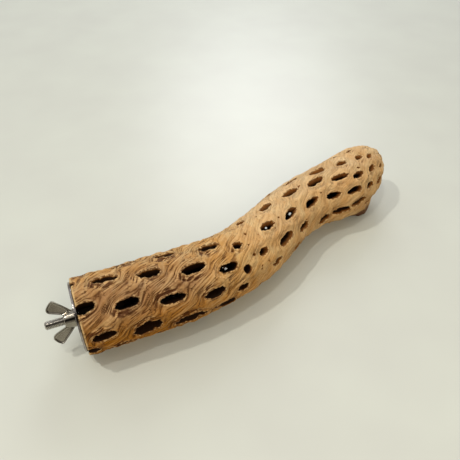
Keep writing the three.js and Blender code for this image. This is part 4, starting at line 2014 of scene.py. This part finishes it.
@dataclass
class Hardware:
    """The M6 stud with its dowel, disc washer and wing nut. Lengths in millimetres."""

    place: Place
    axis_height: float = 28.8
    bore_radius: float = 3.3

    stud_radius: float = 3.0
    stud_reach: float = 23.2
    stud_chamfer: float = 0.8
    stud_sides: int = 48
    pitch: float = 1.0
    thread_depth: float = 0.5
    thread_flank: Pair = (0.45, 0.95)
    thread_steps: int = 8
    shank_radius: float = 2.6
    shank_depth: float = 24.0
    shank_point: float = 3.0
    shank_taper: float = 3.0

    dowel_radius: float = 14.7
    dowel_span: Pair = (-30.5, -0.5)
    dowel_edge: float = 0.6
    dowel_sides: int = 96
    dowel_play: float = 0.3

    disc_radius: float = 25.0
    disc_faces: Pair = (0.3, 1.9)
    disc_edge: float = 0.35
    disc_bore_edge: float = 0.1
    disc_sides: int = 128
    disc_edge_steps: int = 6
    disc_sharp_over: float = 35.0

    nut_face: float = 2.2
    nut_height: float = 8.0
    nut_radii: Pair = (6.4, 5.3)
    nut_edge: float = 0.5
    nut_bore_edge: float = 0.3
    nut_sides: int = 96
    # One wing's outline, as distance from the axis and height above the nut's foot.
    wing_root: Pair = (4.0, 1.4)
    wing_curves: tuple[tuple[Pair, ...], ...] = (
        ((6.3, 2.2), (9.2, 4.6), (15.2, 10.9)),
        ((15.2, 10.9), (17.0, 12.8), (15.3, 14.6)),
        ((15.3, 14.6), (12.8, 17.4), (10.9, 17.8)),
        ((10.9, 17.8), (8.9, 17.8), (7.9, 15.6)),
    )
    wing_back: tuple[Pair, ...] = ((7.9, 15.6), (4.9, 8.3), (4.0, 7.2))
    wing_steps: int = 10
    wing_thickness: float = 2.2
    wing_turn: float = 25.0
    # A raised border, from these shares of the outline inwards, round a flat recess.
    wing_border: float = 0.9
    wing_inner: float = 0.74
    wing_recess: float = 0.7
    cast_grain: float = 0.22
    tumbling: float = 0.5
    tumbling_rounds: int = 3

    def build(self) -> list[Object]:
        """Builds and dresses the four pieces of hardware."""
        return [self.dowel(), self.stud(), self.disc(), self.wing_nut()]

    def _solid(self, name: str, points: Array, faces: Sequence[Sequence[int]]) -> Object:
        """Makes a piece whose axis is on Z, and lays it along the stud's axis."""
        return object_from(name, self.place.from_axis(points, self.axis_height), faces)

    def dowel(self) -> Object:
        """Makes the dowel in the pith hollow, which holds the stud's shank."""
        bottom, top = self.dowel_span
        bore = self.shank_radius + self.dowel_play
        bore_end = -self.shank_depth - self.dowel_play
        radius, edge = self.dowel_radius, self.dowel_edge
        profile = (
            (0, bottom), (radius - edge, bottom), (radius, bottom + edge), (radius, top - edge),
            (radius - edge, top), (bore, top), (bore, bore_end), (0, bore_end),
        )
        points, faces = lathe(profile, self.dowel_sides)
        piece = self._solid("glued_dowel", points, faces)
        return self._dress(piece, "end_dowel", "dowel_wood", Body.STEM, TurnedDowel())

    def stud(self) -> Object:
        """Makes the stud with its rolled thread."""
        rows = round(self.stud_reach / self.pitch * self.thread_steps)
        heights = [-self.shank_depth, -self.shank_depth + self.shank_point, 0.0]
        heights += [row * self.stud_reach / rows for row in range(1, rows + 1)]
        sides = self.stud_sides
        angles = math.tau * np.arange(sides) / sides
        points = [np.array([[0, 0, heights[0]]])]
        for height in heights:
            reach = self._stud_reach_at(height, angles)
            ring = (reach * np.cos(angles), reach * np.sin(angles), 0 * angles + height)
            points.append(np.stack(ring, axis=1))
        points.append(np.array([[0, 0, heights[-1]]]))
        faces = grid_faces(1, len(heights), sides)
        last = 1 + (len(heights) - 1) * sides
        for side in range(sides):
            after = (side + 1) % sides
            faces.append((0, 1 + after, 1 + side))
            faces.append((last + sides, last + side, last + after))
        piece = self._solid("rolled_thread_stud", np.concatenate(points), faces)
        # Rolled thread: burnished crests and duller flanks.
        finish = StainlessSteel("rolled_stainless_thread", tint="#b4afa6", roughness=0.13)
        return self._dress(piece, "threaded_stud", "stainless_thread", Body.STEM, finish)

    def _stud_reach_at(self, height: float, angles: Array) -> Array:
        """Works out the stud's radius round its axis.

        Args:
            height: Height above the sawn face.
            angles: Angles round the axis, in radians.

        Returns:
            The radius at each angle.
        """
        if height <= -self.shank_depth:
            return np.full(len(angles), self.shank_radius / self.shank_taper)
        if height <= 0:
            return np.full(len(angles), self.shank_radius)
        turn = height / self.pitch - angles / math.tau
        wave = np.abs((turn % 1) * 2 - 1)
        thread = self.stud_radius - self.thread_depth * smoothstep(*self.thread_flank, wave)
        return np.minimum(thread, self.stud_radius - self.stud_chamfer + self.stud_reach - height)

    def disc(self) -> Object:
        """Makes the large disc washer, with the edge rounded by stamping."""
        low, high = self.disc_faces
        bore, eased = self.bore_radius, self.bore_radius + self.disc_bore_edge
        edge, flat = self.disc_edge, self.disc_radius - self.disc_edge
        steps = self.disc_edge_steps
        bends = [math.pi / 2 * step / steps for step in range(steps + 1)]
        profile = [(bore, low + self.disc_bore_edge), (eased, low)]
        profile += [(flat + edge * math.sin(b), low + edge * (1 - math.cos(b))) for b in bends]
        profile += [(flat + edge * math.cos(b), high - edge * (1 - math.sin(b))) for b in bends]
        profile += [(eased, high), (bore, high - self.disc_bore_edge)]
        points, faces = lathe(profile, self.disc_sides)
        piece = self._solid("stamped_disc", points, faces)
        sharpen(piece, self.disc_sharp_over)
        # Stamped from polished sheet: nearly a mirror, with faint lines one way.
        finish = StainlessSteel(
            "polished_stainless_sheet",
            tint="#a8a2a0",
            shade="#8e8884",
            roughness=0.15,
            marks=Pattern(0.3846, 4.0, stretch=(1.0, 1.0, 20.0)),
            bump=0.05,
        )
        return self._dress(piece, "disc_washer", "stainless_disc", Body.DISC, finish)

    def wing_outline(self) -> Array:
        """Draws one wing's outline from its curves, each pulled towards its middle point."""
        shares = np.arange(self.wing_steps)[:, None] / self.wing_steps
        outline = [np.array([self.wing_root])]
        for curve in self.wing_curves:
            start, pull, end = np.array(curve)
            bend = (1 - shares) ** 2 * start + 2 * shares * (1 - shares) * pull + shares**2 * end
            outline.append(bend)
        return np.concatenate([*outline, np.array(self.wing_back)])

    def _hub(self) -> tuple[Array, Faces]:
        """Turns the wing nut's hub."""
        wide, narrow = self.nut_radii
        edge, bore, bore_edge = self.nut_edge, self.bore_radius, self.nut_bore_edge
        profile = (
            (bore, bore_edge),
            (bore + bore_edge, 0),
            (wide - edge, 0),
            (wide, edge),
            (narrow, self.nut_height - edge),
            (narrow - edge, self.nut_height),
            (bore + bore_edge, self.nut_height),
            (bore, self.nut_height - bore_edge),
        )
        return lathe(profile, self.nut_sides)

    def wing_nut(self) -> Object:
        """Makes the cast wing nut: hub and wings melted into one with soft fillets."""
        hub, faces = self._hub()
        outline = self.wing_outline()
        middle = outline.mean(axis=0)
        half = self.wing_thickness / 2
        face = ((self.wing_inner, half - self.wing_recess), (self.wing_border, half), (1.0, half))
        loops = [*((scale, -level) for scale, level in face), *reversed(face)]
        blocks = [hub]
        start = len(hub)
        for side in (1, -1):
            for scale, level in loops:
                ring = middle + (outline - middle) * scale
                across = np.full(len(ring), level)
                blocks.append(np.column_stack([side * ring[:, 0], across, ring[:, 1]]))
            faces += tube_faces(start, len(loops), len(outline))
            start += len(loops) * len(outline)
        points = np.concatenate(blocks)
        cosine, sine = (wave(math.radians(self.wing_turn)) for wave in (math.cos, math.sin))
        x, y, z = points.T
        turned = np.stack([x * cosine - y * sine, x * sine + y * cosine, z + self.nut_face], axis=1)
        piece = self._solid("cast_wing_nut", turned, faces)
        melt = piece.modifiers.new("cast", "REMESH")
        melt.mode = "VOXEL"
        melt.voxel_size = self.cast_grain * MM
        soften = piece.modifiers.new("tumbled", "SMOOTH")
        soften.factor = self.tumbling
        soften.iterations = self.tumbling_rounds
        apply_modifiers(piece)
        piece.data.polygons.foreach_set("use_smooth", [True] * len(piece.data.polygons))
        # Cast and tumbled: satin faces with edges rubbed bright.
        finish = StainlessSteel(
            "cast_stainless",
            tint="#aaa498",
            shade="#8a8478",
            roughness=0.14,
            marks=Pattern(0.6667, 4.0),
            bump=0.15,
        )
        return self._dress(piece, "wing_nut", "stainless_nut", Body.NUT, finish)

    @staticmethod
    def _dress(
        piece: Object,
        node: str,
        slot: str,
        body: Body,
        finish: StainlessSteel | TurnedDowel,
    ) -> Object:
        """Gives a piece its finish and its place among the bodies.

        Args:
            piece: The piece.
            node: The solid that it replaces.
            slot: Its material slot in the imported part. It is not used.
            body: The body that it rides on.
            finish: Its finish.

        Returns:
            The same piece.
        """
        face_outwards(piece)
        piece.data.materials.append(finish.build())
        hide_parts(node)
        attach(piece, body.value)
        return piece


@dataclass(frozen=True)
class Lamp:
    """A round lamp that is aimed at the part. Metres and watts."""

    name: str
    place: tuple[float, float, float]
    size: float
    power: float
    colour: str
    mirrored: bool = True

    def build(self) -> None:
        """Hangs the lamp in the scene."""
        data = bpy.data.lights.new(self.name, "AREA")
        data.shape = "DISK"
        data.size = self.size
        data.energy = self.power
        data.color = srgb(self.colour)[:3]
        lamp = bpy.data.objects.new(self.name, data)
        lamp.location = self.place
        lamp.rotation_euler = (-Vector(self.place)).to_track_quat("-Z", "Y").to_euler()
        lamp.visible_glossy = self.mirrored
        bpy.context.scene.collection.objects.link(lamp)


@dataclass
class Studio:
    """A pale table under two small ceiling lamps, a soft room, and the photograph's camera."""

    table: tuple[tuple[float, str], ...] = ((0.3, "#c4c8c0"), (0.7, "#c8cdc4"))
    table_mottle: Pattern = Pattern(71.43, 2.0)
    table_roughness: float = 0.36
    table_half: float = 3.0
    table_gap: float = 0.0002
    # The ceiling lamps throw the two shadows. The fill stands for light from all over
    # the room, so steel doesn't mirror it.
    lamps: tuple[Lamp, ...] = (
        Lamp("front_spot", (-0.54, -0.29, 2.0), 0.08, 6.5, "#fff8ee"),
        Lamp("rear_spot", (-1.04, 0.33, 2.0), 0.1, 14.0, "#fff8ee"),
        Lamp("front_fill", (-0.1, -1.3, 1.0), 0.9, 11.5, "#ffeed8", mirrored=False),
        Lamp("window", (0.6, 1.3, 0.9), 0.8, 8.0, "#f6f8ff"),
    )
    # The room by height and by depth, from the front to the back, with a dim part.
    by_height: tuple[tuple[float, str], ...] = (
        (0.5, "#b4b0a6"), (0.64, "#d4d2cc"), (0.85, "#ffffff"),
    )
    by_depth: tuple[tuple[float, str], ...] = (
        (0.03, "#fffaf0"), (0.08, "#1e1b18"), (0.23, "#1e1b18"), (0.32, "#eae6de"),
        (0.6, "#ffffff"),
    )
    backdrop: str = "#ecebe2"
    room_strength: float = 0.7
    camera_place: tuple[float, float, float] = (-0.12760, -0.28647, 0.31549)
    camera_pitch: float = 48.0
    camera_turn: float = -22.082
    camera_near: float = 0.01
    focal_pixels: float = 520.0
    image_side: float = 460.0
    sensor: float = 36.0

    def build(self) -> None:
        """Makes the table, the lamps, the room's light and the camera."""
        self._table()
        for lamp in self.lamps:
            lamp.build()
        self._room()
        self._camera()
        view = bpy.context.scene.view_settings
        view.view_transform = "Standard"
        view.look = "None"

    def _table(self) -> None:
        """Lays a table top of painted board: pale, matt and very faintly mottled."""
        half = self.table_half
        corners = np.array([[-half, -half], [half, -half], [half, half], [-half, half]])
        points = np.column_stack([corners, np.full(4, -self.table_gap)])
        table = object_from("table_top", points, [(0, 1, 2, 3)], smooth=False)
        material, tree, shader = new_material("painted_board")
        place = add_node(tree, "ShaderNodeNewGeometry").outputs["Position"]
        mottle = {"Fac": self.table_mottle.build(tree, place)}
        colour = add_node(tree, "ShaderNodeValToRGB", mottle, stops=self.table)
        tree.links.new(colour.outputs["Color"], shader.inputs["Base Color"])
        shader.inputs["Roughness"].default_value = self.table_roughness
        table.data.materials.append(material)

    def _room(self) -> None:
        """Lights the scene from a bright ceiling and a pale wall, with a dim part in front."""
        world = bpy.data.worlds.new("soft_room")
        world.use_nodes = True
        bpy.context.scene.world = world
        tree = world.node_tree
        direction = add_node(tree, "ShaderNodeTexCoord").outputs["Generated"]
        axes = add_node(tree, "ShaderNodeSeparateXYZ", {"Vector": direction}).outputs
        tones = []
        for axis, stops in (("Z", self.by_height), ("Y", self.by_depth)):
            spread = {"Value": axes[axis], "From Min": -1.0, "From Max": 1.0}
            share = add_node(tree, "ShaderNodeMapRange", spread).outputs["Result"]
            ramp = add_node(tree, "ShaderNodeValToRGB", {"Fac": share}, stops=stops)
            tones.append(ramp.outputs["Color"])
        # Seen directly, the room is a plain pale backdrop in the table's own tone.
        seen = add_node(tree, "ShaderNodeLightPath").outputs["Is Camera Ray"]
        mixes = ((1.0, tones[0], tones[1], "MULTIPLY"), (seen, None, srgb(self.backdrop), "MIX"))
        colour = None
        for share, start, end, blend in mixes:
            inputs = {MIX_SHARE: share, MIX_FROM: start or colour, MIX_TO: end}
            mixed = add_node(tree, "ShaderNodeMix", inputs, data_type="RGBA", blend_type=blend)
            colour = mixed.outputs[MIX_RESULT]
        back = tree.nodes["Background"]
        tree.links.new(colour, back.inputs["Color"])
        back.inputs["Strength"].default_value = self.room_strength

    def _camera(self) -> None:
        """Puts the camera at the photograph's place."""
        data = bpy.data.cameras.new("photo_camera")
        data.sensor_width = self.sensor
        data.lens = self.focal_pixels / self.image_side * self.sensor
        data.clip_start = self.camera_near
        camera = bpy.data.objects.new("photo_camera", data)
        camera.location = self.camera_place
        camera.rotation_euler = (math.radians(self.camera_pitch), 0, math.radians(self.camera_turn))
        bpy.context.scene.collection.objects.link(camera)
        bpy.context.scene.camera = camera


def report(piece: Object) -> None:
    """Logs a piece's name and size of mesh."""
    piece.data.calc_loop_triangles()
    LOG.info("%s: %d triangles", piece.name, len(piece.data.loop_triangles))


def main() -> None:
    """Builds the studio, the wood and the hardware."""
    logging.basicConfig(level=logging.INFO, format="%(name)s: %(message)s")
    sawn_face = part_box("cholla_skeleton")[0].x
    disc_low, disc_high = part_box("disc_washer")
    place = Place(sawn_face, (disc_low.y + disc_high.y) / 2)
    Studio().build()
    report(Stem(place).build())
    for piece in Hardware(place).build():
        report(piece)


if __name__ == "__main__":
    main()
